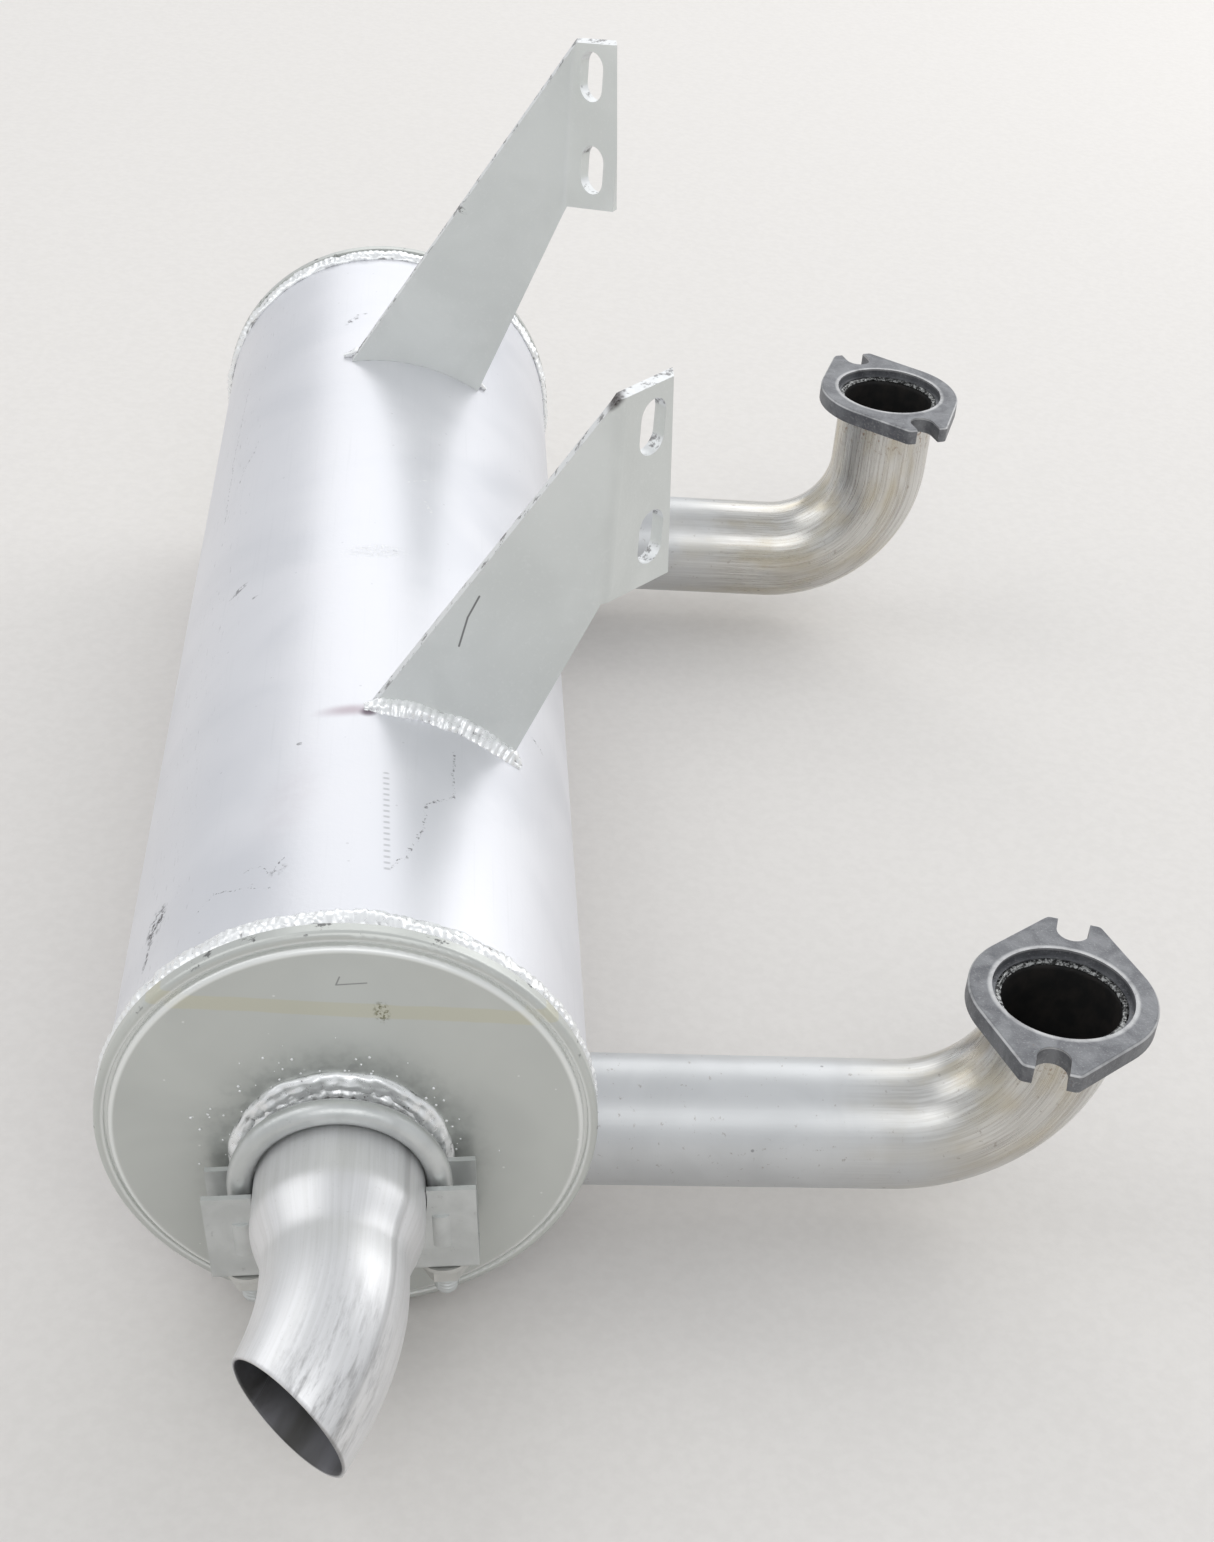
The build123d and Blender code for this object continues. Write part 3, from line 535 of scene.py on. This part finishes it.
def tail_steel(length):
    """Bare drawn tube: bright lines, a welded seam, soot where the gas leaves."""
    f = Finish("tail_steel")
    lines, chart = tube_lines(f, 0.0013)
    along, around, inside = f.attribute("along"), f.attribute("around"), f.attribute("inside")
    cloud = f.noise(0.022, detail=4.0, vector=chart, stretch=(0.8, 2.5, 1.0), warp=0.6)
    colour = f.mix(f.ramp(lines, 0.34, 0.66), (0.74, 0.74, 0.74), (0.80, 0.80, 0.807))
    colour = f.mix(f.times(f.ramp(cloud, 0.46, 0.75), 0.32), colour, (0.56, 0.555, 0.55))
    seam = f.ramp(f.math("ABSOLUTE", f.math("SUBTRACT", around, 3.0 * MM)), 2.1 * MM, 0.5 * MM)
    colour = f.mix(f.times(seam, 0.45), colour, (0.40, 0.40, 0.40))
    smoke = f.noise(0.006, detail=5.0, rough=0.7, vector=chart, stretch=(0.8, 3.0, 1.0))
    end = f.ramp(along, length - 0.045, length - 0.004)
    sooty = f.times(end, f.ramp(smoke, 0.44, 0.66))
    sooty = f.times(sooty, f.ramp(f.math("ABSOLUTE", f.math("ADD", around, 4 * MM)), 0.024, 0.006))
    colour = f.mix(f.times(sooty, 0.62), colour, (0.22, 0.215, 0.215))
    rub = f.ramp(f.noise(0.0014, detail=4.0, rough=0.75), 0.60, 0.68)
    colour = f.mix(f.times(rub, 0.18), colour, (0.45, 0.44, 0.43))
    rim = f.ramp(along, length - 0.0008, length - 0.0001)
    colour = f.mix(f.times(rim, 0.6), colour, (0.20, 0.19, 0.19))
    dusk = f.mix(f.ramp(cloud, 0.3, 0.7), (0.085, 0.083, 0.08), (0.20, 0.20, 0.215))
    colour = f.mix(inside, colour, dusk)
    rough = f.math("ADD", 0.43, f.times(f.math("SUBTRACT", lines, 0.5), 0.10))
    rough = f.math("ADD", rough, f.times(f.most(inside, sooty), 0.22))
    relief = f.bump(lines, 0.000014)
    relief = f.bump(f.times(seam, -1.0), 0.00012, relief)
    return f.finish(colour, 0.78, rough, relief)


def clamp_steel(name, low=(0.53, 0.545, 0.535), high=(0.62, 0.635, 0.625)):
    """Thin silver paint over pressed and rolled steel."""
    f = Finish(name)
    cloud = f.noise(0.012, detail=3.0, warp=0.5)
    mottle = f.noise(0.0012, detail=3.0, rough=0.65)
    colour = f.mix(f.ramp(cloud, 0.3, 0.7), low, high)
    worn = f.ramp(f.noise(0.004, detail=5.0, rough=0.75), 0.62, 0.70)
    colour = f.mix(f.times(worn, 0.4), colour, (0.34, 0.34, 0.335))
    rough = f.ramp(mottle, 0.3, 0.7, 0.30, 0.42)
    return f.finish(colour, 0.62, rough, f.bump(mottle, 0.00004, paint_grain(f, 0.00003)))


def floor_finish():
    """Plain pale matt floor."""
    f = Finish("floor")
    fleck = f.noise(0.004, detail=4.0)
    colour = f.mix(f.ramp(fleck, 0.3, 0.7), (0.72, 0.695, 0.665), (0.745, 0.72, 0.69))
    return f.finish(colour, 0.0, 0.85, f.bump(fleck, 0.0001))


# ------------------------------------------------------------------ meshes
def new_piece(name, points, faces, material, layers=()):
    """Mesh object with smooth faces and named point attributes."""
    mesh = bpy.data.meshes.new(name)
    mesh.from_pydata(points, [], faces)
    mesh.update()
    mesh.polygons.foreach_set("use_smooth", [True] * len(mesh.polygons))
    for key, values in dict(layers).items():
        mesh.attributes.new(key, "FLOAT", "POINT").data.foreach_set("value", values)
    made = bpy.data.objects.new(name, mesh)
    bpy.context.scene.collection.objects.link(made)
    mesh.materials.append(material)
    return made


def skin(rows, columns, close_rows, close_columns=True):
    """Quads over a grid of points stored row by row."""
    faces = []
    for i in range(rows if close_rows else rows - 1):
        a, b = i * columns, ((i + 1) % rows) * columns
        for j in range(columns if close_columns else columns - 1):
            k = (j + 1) % columns
            faces.append((a + j, a + k, b + k, b + j))
    return faces


class Route:
    """A flat path of straight runs and arcs that all bend towards one side."""

    def __init__(self, start, heading, toward, runs):
        self.pieces = []
        self.length = 0.0
        place, ahead, side = Vector(start), Vector(heading), Vector(toward)
        for radius, amount in runs:
            self.pieces.append((self.length, radius, place, ahead, side))
            if radius is None:
                self.length += amount
                place = place + ahead * amount
            else:
                self.length += radius * amount
                place, ahead, side = self.turned(radius, place, ahead, side, amount)

    @staticmethod
    def turned(radius, place, ahead, side, angle):
        c, s = math.cos(angle), math.sin(angle)
        moved = place + ahead * (radius * s) + side * (radius * (1 - c))
        return moved, ahead * c + side * s, side * c - ahead * s

    def at(self, distance):
        """Place, heading and the side it bends to, at a distance along the path."""
        start, radius, place, ahead, side = self.pieces[0]
        for piece in self.pieces:
            if distance >= piece[0] - 1e-9:
                start, radius, place, ahead, side = piece
        run = distance - start
        if radius is None:
            return place + ahead * run, ahead, side
        return self.turned(radius, place, ahead, side, run / radius)


def tube(name, route, stations, columns, material):
    """Closed tube wall. stations are (distance, radius, inside) from the outer start round to
    the inner start."""
    points = []
    layers = {"along": [], "around": [], "inside": []}
    outer = max(radius for _, radius, _ in stations)
    for distance, radius, inside in stations:
        place, ahead, side = route.at(distance)
        third = ahead.cross(side)
        for j in range(columns):
            a = TAU * j / columns
            flat = -side * math.cos(a) + third * math.sin(a)
            points.append(place + flat * radius)
            signed = a if a <= math.pi else a - TAU
            layers["along"].append(distance)
            layers["around"].append(signed * outer)
            layers["inside"].append(inside)
    return new_piece(name, points, skin(len(stations), columns, True), material, layers)


def spaced(start, end, step):
    """Evenly spaced distances from start to end, about step apart."""
    count = max(1, round(abs(end - start) / step))
    return [start + (end - start) * i / count for i in range(count + 1)]


BEAD_COLUMNS = 18


def bead(name, path, closed, half_width, height, material, pitch, lump, seed):
    """Rough weld bead: overlapping ripples and lumps along a path.

    path gives for each step a place, the direction off the surface and the direction across.
    """
    rows, columns = len(path), BEAD_COLUMNS
    points, crest = [], []
    length = 0.0
    drift = Vector((seed * 3.7, seed * 1.9, seed * 5.3))
    for i, (place, off, across) in enumerate(path):
        if i:
            length += (place - path[i - 1][0]).length
        taper = 1.0
        if not closed:
            taper = min(1.0, 0.35 + 6.0 * min(i, rows - 1 - i) / rows)
        for j in range(columns):
            a = math.pi * j / (columns - 1)
            bow = math.sin(a)
            flow = length / pitch
            ripple = abs(math.sin(math.pi * (flow + 0.45 * bow))) ** 0.6
            coarse = noise.noise(Vector((flow * 0.42, a * 1.3, 0.0)) + drift)
            grit = Vector((flow * 0.8 + a * 0.5, a * 2.6, 7.0)) + drift
            fine = noise.fractal(grit, 0.9, 2.1, 3)
            rise = bow * height * (0.62 + 0.30 * ripple) + bow * lump * (coarse + 0.55 * fine)
            spread = half_width * taper * (1.0 + 0.22 * coarse + 0.10 * fine)
            points.append(place + across * (spread * math.cos(a)) + off * (rise * taper))
            # crest: height over the bead, which the weld finish turns into painted highlight on
            # crests and painted shade in folds
            crest.append(0.25 + 0.45 * ripple * bow + 0.9 * (coarse * 0.6 + fine * 0.5))
    base = len(points)
    for place, off, _ in path:
        points.append(place - off * (height * 0.35))
        crest.append(0.0)
    faces = skin(rows, columns, closed, False)
    for i in range(rows if closed else rows - 1):
        k = (i + 1) % rows
        faces.append((i * columns, k * columns, base + k, base + i))
        last = columns - 1
        faces.append((k * columns + last, i * columns + last, base + i, base + k))
    if not closed:
        faces.append((base, *reversed(range(columns)))[::-1])
        end = (rows - 1) * columns
        faces.append((base + rows - 1, *reversed(range(end, end + columns))))
    return new_piece(name, points, faces, material, {"crest": crest})


def ring_path(centre, axis, start, radius, steps, on_face):
    """Circle about an axis, for a bead on a face square to it or on a cylinder round it."""
    path = []
    other = axis.cross(start)
    for i in range(steps):
        a = TAU * i / steps
        radial = start * math.cos(a) + other * math.sin(a)
        off, across = (axis, radial) if on_face else (radial, axis)
        path.append((centre + radial * radius, off, across))
    return path


def spatter(name, centre, spread, count, off, material, seed):
    """Beads of weld metal thrown round a weld, as low domes on the surface."""
    draw = random.Random(seed)
    points, faces, crest = [], [], []
    side = off.orthogonal().normalized()
    other = off.cross(side)
    rings, columns = 4, 8
    for _ in range(count):
        a = draw.uniform(0, TAU)
        reach = spread[0] + (spread[1] - spread[0]) * draw.random() ** 1.8
        size = draw.uniform(0.18, 0.55) * MM
        middle = centre + side * (math.cos(a) * reach) + other * (math.sin(a) * reach)
        base = len(points)
        for i in range(rings):
            tilt = (math.pi / 2) * i / rings
            for j in range(columns):
                b = TAU * j / columns
                flat = side * math.cos(b) + other * math.sin(b)
                rise = off * (size * math.sin(tilt) * 0.8)
                points.append(middle + flat * (size * math.cos(tilt)) + rise)
                # spatter domes are all crest, so the weld finish gives them its painted crest
                # highlight
                crest.append(0.9)
        points.append(middle + off * (size * 0.8))
        crest.append(1.0)
        for i in range(rings - 1):
            for j in range(columns):
                k = (j + 1) % columns
                a0, b0 = base + i * columns, base + (i + 1) * columns
                faces.append((a0 + j, a0 + k, b0 + k, b0 + j))
        top = base + (rings - 1) * columns
        for j in range(columns):
            faces.append((top + j, top + (j + 1) % columns, base + rings * columns))
        faces.append(tuple(reversed(range(base, base + columns))))
    return new_piece(name, points, faces, material, {"crest": crest})


def stand_for(piece, body, slot, *replaced):
    """Ties a piece to its body, in place of CAD nodes, which are hidden; slot is not used."""
    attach(piece, body)
    if replaced:
        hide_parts(*replaced)


# ------------------------------------------------------------------ pieces: inlets
INLET_BEND = 50.8 * MM
INLET_WALL = 1.6 * MM
INLET_STEP = 2.5 * MM


def inlet_pipe(port, painted_to):
    """Mandrel-bent pipe: straight out of the shell, then up into the flange."""
    low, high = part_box(port + "_inlet_pipe")
    radius = (high.y - low.y) / 2
    middle_y = (low.y + high.y) / 2
    bottom = low.z + radius
    port_x = high.x - radius
    first = port_x - INLET_BEND - low.x
    last = high.z - (bottom + INLET_BEND)
    runs = [(None, first), (INLET_BEND, math.pi / 2), (None, last)]
    route = Route((low.x, middle_y, bottom), (1, 0, 0), (0, 0, 1), runs)
    outer = [(s, radius, 0.0) for s in spaced(0.0, route.length, INLET_STEP)]
    inner = [(s, radius - INLET_WALL, 1.0) for s in spaced(route.length, 0.0, INLET_STEP)]
    lip = [(route.length, radius - INLET_WALL * 0.5, 0.6)]
    finish = inlet_steel(f"{port}_inlet_steel", painted_to, route.length)
    piece = tube(port + "_inlet_tube", route, outer + lip + inner, 96, finish)
    stand_for(piece, "silencer", "inlet_steel", port + "_inlet_pipe")
    return radius, middle_y, bottom, Vector((port_x, middle_y, high.z))


def inlet_joint(port, radius, middle_y, axis_z, material):
    """Bead along the line where the pipe meets the shell."""
    path = []
    steps = 110
    for i in range(steps):
        a = TAU * i / steps
        y = middle_y + (radius + 1.2 * MM) * math.cos(a)
        z = axis_z + (radius + 1.2 * MM) * math.sin(a)
        drop = z - BODY_Z
        x = BODY_X + math.sqrt(max(SHELL_R ** 2 - drop ** 2, 0.0))
        out = Vector((x - BODY_X, 0, drop)).normalized()
        away = Vector((0, math.cos(a), math.sin(a)))
        off = (out + away).normalized()
        across = (out - away).normalized()
        path.append((Vector((x, y, z)), off, across))
    size = (3.6 * MM, 1.9 * MM)
    piece = bead(port + "_inlet_bead", path, True, *size, material, 3.4 * MM, 0.6 * MM, 5)
    stand_for(piece, "silencer", "weld_bead", port + "_inlet_weld")


def port_joint(port, centre, radius, material):
    """Rough ring of weld on the pipe's end, inside the flange."""
    path = ring_path(centre, UP, Vector((1, 0, 0)), radius - 0.5 * MM, 90, True)
    size = (1.5 * MM, 1.1 * MM)
    piece = bead(port + "_port_bead", path, True, *size, material, 4.5 * MM, 0.55 * MM, 9)
    stand_for(piece, "silencer", "port_weld", port + "_flange_weld")


# ------------------------------------------------------------------ pieces: body welds
OUTLET_TUBE_R = 25.4 * MM


def cap_joint(end, material, seed):
    """Machine-laid but rough bead between the shell and an end cap."""
    low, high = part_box(end + "_cap_weld")
    width = high.y - low.y
    middle = (low.y + high.y) / 2
    start = Vector((0, 0, -1))
    axis = Vector((0, 1, 0))
    path = ring_path(Vector((BODY_X, middle, BODY_Z)), axis, start, SHELL_R, 620, False)
    size = (width * 0.52, 2.6 * MM)
    piece = bead(end + "_cap_bead", path, True, *size, material, 2.7 * MM, 0.75 * MM, seed)
    stand_for(piece, "silencer", "weld_bead", end + "_cap_weld")


def outlet_joint(material):
    """Heavy hand-laid weld round the outlet: two overlapping runs."""
    low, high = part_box("outlet_weld")
    outer = (high.x - low.x) / 2
    axis, start = Vector((0, -1, 0)), Vector((0, 0, -1))
    inner = OUTLET_TUBE_R
    wide = ring_path(OUTLET, axis, start, (inner + outer) / 2 + 0.6 * MM, 230, True)
    size = ((outer - inner) * 0.5, 3.0 * MM)
    piece = bead("outlet_bead", wide, True, *size, material, 5.2 * MM, 1.15 * MM, 3)
    stand_for(piece, "silencer", "weld_bead", "outlet_weld")
    second = ring_path(OUTLET, axis, start, inner + 2.6 * MM, 200, True)
    size = (3.0 * MM, 3.6 * MM)
    piece = bead("outlet_bead_root", second, True, *size, material, 4.1 * MM, 0.8 * MM, 8)
    stand_for(piece, "silencer", "weld_bead")
    spread = (outer + 1 * MM, outer + 15 * MM)
    drops = spatter("outlet_spatter", OUTLET, spread, 90, axis, material, 21)
    stand_for(drops, "silencer", "weld_bead")


BRACKET_BEAD_STEPS = 150


def bracket_joint(end, side, material, seed):
    """Bead along a bracket's foot, laid against the web's face on the shell."""
    low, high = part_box(end + "_bracket_weld")
    face_y = high.y if side < 0 else low.y
    first = math.degrees(math.asin((low.x - BODY_X) / SHELL_R))
    last = math.degrees(math.asin((high.x - BODY_X) / (SHELL_R + 3 * MM)))
    path = []
    foot = Vector((0, side * 1.2 * MM, 0))
    for i in range(BRACKET_BEAD_STEPS):
        a = first + (last - first) * i / (BRACKET_BEAD_STEPS - 1)
        out = (around_body(a, 0, 1) - around_body(a, 0)).normalized()
        off = (out + Vector((0, side, 0))).normalized()
        across = (out - Vector((0, side, 0))).normalized()
        path.append((around_body(a, face_y, 0.3 * MM) + foot, off, across))
    size = (4.2 * MM, 3.0 * MM)
    piece = bead(end + "_bracket_bead", path, False, *size, material, 2.6 * MM, 0.9 * MM, seed)
    stand_for(piece, "silencer", "weld_bead", end + "_bracket_weld")


# ------------------------------------------------------------------ pieces: tail and clamp
TAIL_BEND = 50.8 * MM
TAIL_BEND_ANGLE = math.radians(61.7)
TAIL_AIM = math.radians(42.9)
TAIL_CUT = math.radians(26.7)
TAIL_CUT_AIM = math.radians(227.1)
TAIL_CUT_SETBACK = 12.6 * MM
TAIL_STRAIGHT = 12.2 * MM
TAIL_R = 22.2 * MM
TAIL_WALL = 1.1 * MM
SOCKET_R = 26.55 * MM
SOCKET_DEPTH = 30.0 * MM
SOCKET_NECK = 12.0 * MM


def swell(distance):
    """Tube radius: full width as far as the outlet stub reaches, then eased down to the tail."""
    share = (distance - SOCKET_DEPTH * 0.94) / (SOCKET_NECK + SOCKET_DEPTH * 0.22)
    share = min(1.0, max(0.0, share))
    eased = share * share * (3 - 2 * share)
    return SOCKET_R + (TAIL_R - SOCKET_R) * eased


def tail_cut(route):
    """The mouth's plane: a point on it and the direction out of the mouth."""
    place, ahead, side = route.at(route.length)
    lean = side * math.cos(TAIL_CUT_AIM) + ahead.cross(side) * math.sin(TAIL_CUT_AIM)
    out = ahead * math.cos(TAIL_CUT) + lean * math.sin(TAIL_CUT)
    return place - ahead * TAIL_CUT_SETBACK, out


def reach_to_cut(route, angle, radius, plane):
    """How far along the route one line of the tube's wall meets the mouth's plane."""
    low, high = route.length * 0.5, route.length * 1.2
    for _ in range(30):
        middle = (low + high) / 2
        place, ahead, side = route.at(middle)
        point = place + (ahead.cross(side) * math.sin(angle) - side * math.cos(angle)) * radius
        if (point - plane[0]).dot(plane[1]) > 0:
            high = middle
        else:
            low = middle
    return low


def tailpipe():
    """Expanded tube end, bent down and aside, cut on a slant."""
    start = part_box("tailpipe")[1].y
    side = Vector((-math.sin(TAIL_AIM), 0, -math.cos(TAIL_AIM)))
    straight = SOCKET_DEPTH + SOCKET_NECK + TAIL_STRAIGHT
    runs = [(None, straight), (TAIL_BEND, TAIL_BEND_ANGLE)]
    route = Route((OUTLET.x, start, OUTLET.z), (0, -1, 0), side, runs)
    plane = tail_cut(route)
    columns = 144
    angles = [TAU * j / columns for j in range(columns)]
    outer_reach = [reach_to_cut(route, a, TAIL_R, plane) for a in angles]
    inner_reach = [reach_to_cut(route, a, TAIL_R - TAIL_WALL, plane) for a in angles]
    fixed = spaced(0.0, straight, 1.5 * MM)
    steps = 34
    rows = [([s] * columns, 0.0, 0.0) for s in fixed]
    for i in range(1, steps + 1):
        rows.append(([straight + (r - straight) * i / steps for r in outer_reach], 0.0, 0.0))
    middle = [(a + b) / 2 + 0.15 * MM for a, b in zip(outer_reach, inner_reach)]
    rows.append((middle, TAIL_WALL * 0.5, 0.3))
    for i in range(steps, 0, -1):
        rows.append(([straight + (r - straight) * i / steps for r in inner_reach], TAIL_WALL, 1.0))
    rows += [([s] * columns, TAIL_WALL, 1.0) for s in reversed(fixed)]
    points, layers = [], {"along": [], "around": [], "inside": []}
    end = sum(outer_reach) / columns
    for distances, depth, inside in rows:
        for angle, distance, reach in zip(angles, distances, outer_reach):
            place, ahead, aside = route.at(distance)
            flat = ahead.cross(aside) * math.sin(angle) - aside * math.cos(angle)
            points.append(place + flat * (swell(distance) - depth))
            layers["along"].append(distance + (end - reach) * max(0.0, distance / end) ** 4)
            layers["around"].append((angle if angle <= math.pi else angle - TAU) * TAIL_R)
            layers["inside"].append(inside)
    faces = skin(len(rows), columns, True)
    piece = new_piece("tailpipe_tube", points, faces, tail_steel(end), layers)
    stand_for(piece, "tail", "tail_steel", "tailpipe")


CLAMP_TURN = math.radians(-4.5)
ROD_R = 3.95 * MM
RING_R = 30.8 * MM
THREAD_PITCH = 25.4 / 18 * MM
THREAD_LENGTH = 26.0 * MM
THREAD_DEPTH = 0.55 * MM


def u_bolt(material):
    """Round rod bent over the socket, with a rolled thread on both legs."""
    low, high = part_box("clamp_u_bolt")
    centre = Vector((OUTLET.x, (low.y + high.y) / 2, OUTLET.z))
    leg = OUTLET.z - low.z - (math.sin(abs(CLAMP_TURN)) * (RING_R + ROD_R * 0.9))
    down = Vector((-math.sin(CLAMP_TURN), 0, -math.cos(CLAMP_TURN)))
    right = Vector((math.cos(CLAMP_TURN), 0, -math.sin(CLAMP_TURN)))
    runs = [(None, leg), (RING_R, math.pi), (None, leg)]
    route = Route(centre - right * RING_R + down * leg, -down, right, runs)
    total = route.length
    columns = 40
    points = []
    fine = spaced(0.0, THREAD_LENGTH, THREAD_PITCH / 8)
    middle = spaced(THREAD_LENGTH, total - THREAD_LENGTH, 1.2 * MM)[1:-1]
    marks = fine + middle + [total - s for s in reversed(fine)]
    for s in marks:
        place, ahead, side = route.at(min(max(s, 0.0), total))
        third = ahead.cross(side)
        end = min(s, total - s)
        cut = min(1.0, max(0.0, (THREAD_LENGTH - end) / (2 * THREAD_PITCH)))
        rounded = min(1.0, 0.55 + 0.45 * math.sqrt(min(1.0, end / (2.2 * MM))))
        for j in range(columns):
            a = TAU * j / columns
            turn = (s / THREAD_PITCH + a / TAU) % 1.0
            groove = abs(2 * turn - 1) * THREAD_DEPTH * cut
            flat = side * math.cos(a) + third * math.sin(a)
            points.append(place + flat * ((ROD_R - groove) * rounded))
    faces = skin(len(marks), columns, False)
    faces.append(tuple(reversed(range(columns))))
    faces.append(tuple(range(len(points) - columns, len(points))))
    piece = new_piece("clamp_rod", points, faces, material)
    stand_for(piece, "clamp", "clamp_steel", "clamp_u_bolt")


# ------------------------------------------------------------------ build
def dress_cad():
    """Finishes for the parts that keep their CAD shape."""
    clamp = clamp_steel("clamp_steel")
    finishes = {
        "shell": shell_paint(),
        "front_end_cap": cap_paint(),
        "front_inlet_flange": flange_steel(),
        "front_bracket": bracket_paint(),
        "clamp_saddle": clamp,
        "clamp_nut_left": clamp_steel("nut_steel", (0.56, 0.56, 0.535), (0.66, 0.66, 0.635)),
        "front_baffle": inner_steel(),
    }
    shares = {
        "rear_end_cap": "front_end_cap",
        "rear_inlet_flange": "front_inlet_flange",
        "rear_bracket": "front_bracket",
        "clamp_nut_right": "clamp_nut_left",
        "rear_baffle": "front_baffle",
        "outlet_tube": "front_baffle",
        "outlet_tube_plug": "front_baffle",
        "crossover_tube": "front_baffle",
    }
    for name, other in shares.items():
        finishes[name] = finishes[other]
    for name, finish in finishes.items():
        for place in nodes[name].material_slots:
            place.material = finish
    return clamp


def round_edges(name, width):
    """Breaks a cut part's sharp edges, which stay sharp in CAD."""
    modifier = nodes[name].modifiers.new("broken_edges", "BEVEL")
    modifier.width = width
    modifier.segments = 2
    modifier.limit_method = "ANGLE"
    modifier.angle_limit = math.radians(40)
    modifier.use_clamp_overlap = True


def build_object():
    """Dresses the CAD parts, then builds every drawn piece."""
    clamp = dress_cad()
    bead_finish = weld_bead()
    port_finish = port_weld()
    round_edges("clamp_saddle", 0.5 * MM)
    for end in ("front", "rear"):
        round_edges(end + "_bracket", 0.4 * MM)
        round_edges(end + "_inlet_flange", 0.5 * MM)
    for port, painted_to in (("front", 150 * MM), ("rear", 110 * MM)):
        radius, middle_y, axis_z, mouth = inlet_pipe(port, painted_to)
        inlet_joint(port, radius, middle_y, axis_z, bead_finish)
        port_joint(port, mouth, radius, port_finish)
    cap_joint("front", bead_finish, 1)
    cap_joint("rear", bead_finish, 2)
    outlet_joint(bead_finish)
    bracket_joint("front", -1, bead_finish, 4)
    bracket_joint("rear", 1, bead_finish, 6)
    tailpipe()
    u_bolt(clamp)


# ------------------------------------------------------------------ studio
CAMERA_PLACE = Vector((-0.22114, -0.59160, 0.46995))
CAMERA_AZIMUTH = math.radians(9.2173)
CAMERA_DROP = math.radians(37.5916)
CAMERA_ROLL = math.radians(7.1831)
CAMERA_LENS = 53.304
CAMERA_SHIFT = (-0.06175, 0.12457)


def camera():
    """The photograph's viewing angle."""
    data = bpy.data.cameras.new("camera")
    data.lens = CAMERA_LENS
    data.sensor_width = 36.0
    data.shift_x, data.shift_y = CAMERA_SHIFT
    data.clip_start, data.clip_end = 0.05, 20.0
    made = bpy.data.objects.new("camera", data)
    bpy.context.scene.collection.objects.link(made)
    level = math.cos(CAMERA_DROP)
    east, north = level * math.sin(CAMERA_AZIMUTH), level * math.cos(CAMERA_AZIMUTH)
    ahead = Vector((east, north, -math.sin(CAMERA_DROP)))
    right = ahead.cross(UP).normalized()
    above = right.cross(ahead)
    rolled = right * math.cos(CAMERA_ROLL) + above * math.sin(CAMERA_ROLL)
    top = rolled.cross(ahead)
    facing = Matrix((rolled, top, -ahead)).transposed().to_4x4()
    made.matrix_world = Matrix.Translation(CAMERA_PLACE) @ facing
    bpy.context.scene.camera = made


def soft_box(name, place, target, size, power):
    """Rectangular lamp at a place, turned to the target."""
    data = bpy.data.lights.new(name, "AREA")
    data.shape = "RECTANGLE"
    data.size, data.size_y = size
    data.energy = power
    made = bpy.data.objects.new(name, data)
    bpy.context.scene.collection.objects.link(made)
    made.location = place
    made.rotation_euler = (Vector(target) - Vector(place)).to_track_quat("-Z", "Y").to_euler()


FLOOR_HALF = 6.0


def studio():
    """Pale floor under the part, an even sky and four soft lamps."""
    low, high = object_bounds()
    middle = (low + high) / 2
    turns = ((-1, -1), (1, -1), (1, 1), (-1, 1))
    corners = [(x * FLOOR_HALF, y * FLOOR_HALF, low.z) for x, y in turns]
    floor = new_piece("floor", corners, [(0, 1, 2, 3)], floor_finish())
    floor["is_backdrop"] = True
    world = bpy.data.worlds.new("studio")
    world.use_nodes = True
    sky = world.node_tree.nodes["Background"]
    sky.inputs["Color"].default_value = (0.95, 0.97, 1.0, 1.0)
    sky.inputs["Strength"].default_value = 0.70
    bpy.context.scene.world = world
    soft_box("back", middle + Vector((0.5, 2.4, 1.5)), middle, (3.4, 1.6), 22.0)
    soft_box("left", middle + Vector((-1.6, 0.1, 1.4)), middle, (1.6, 2.0), 9.0)
    soft_box("right", middle + Vector((1.7, 1.1, 0.9)), middle, (1.6, 1.8), 12.0)
    soft_box("front", middle + Vector((0.1, -2.0, 1.9)), middle, (2.2, 1.4), 13.0)
    bpy.context.scene.view_settings.view_transform = "Standard"


build_object()
camera()
studio()
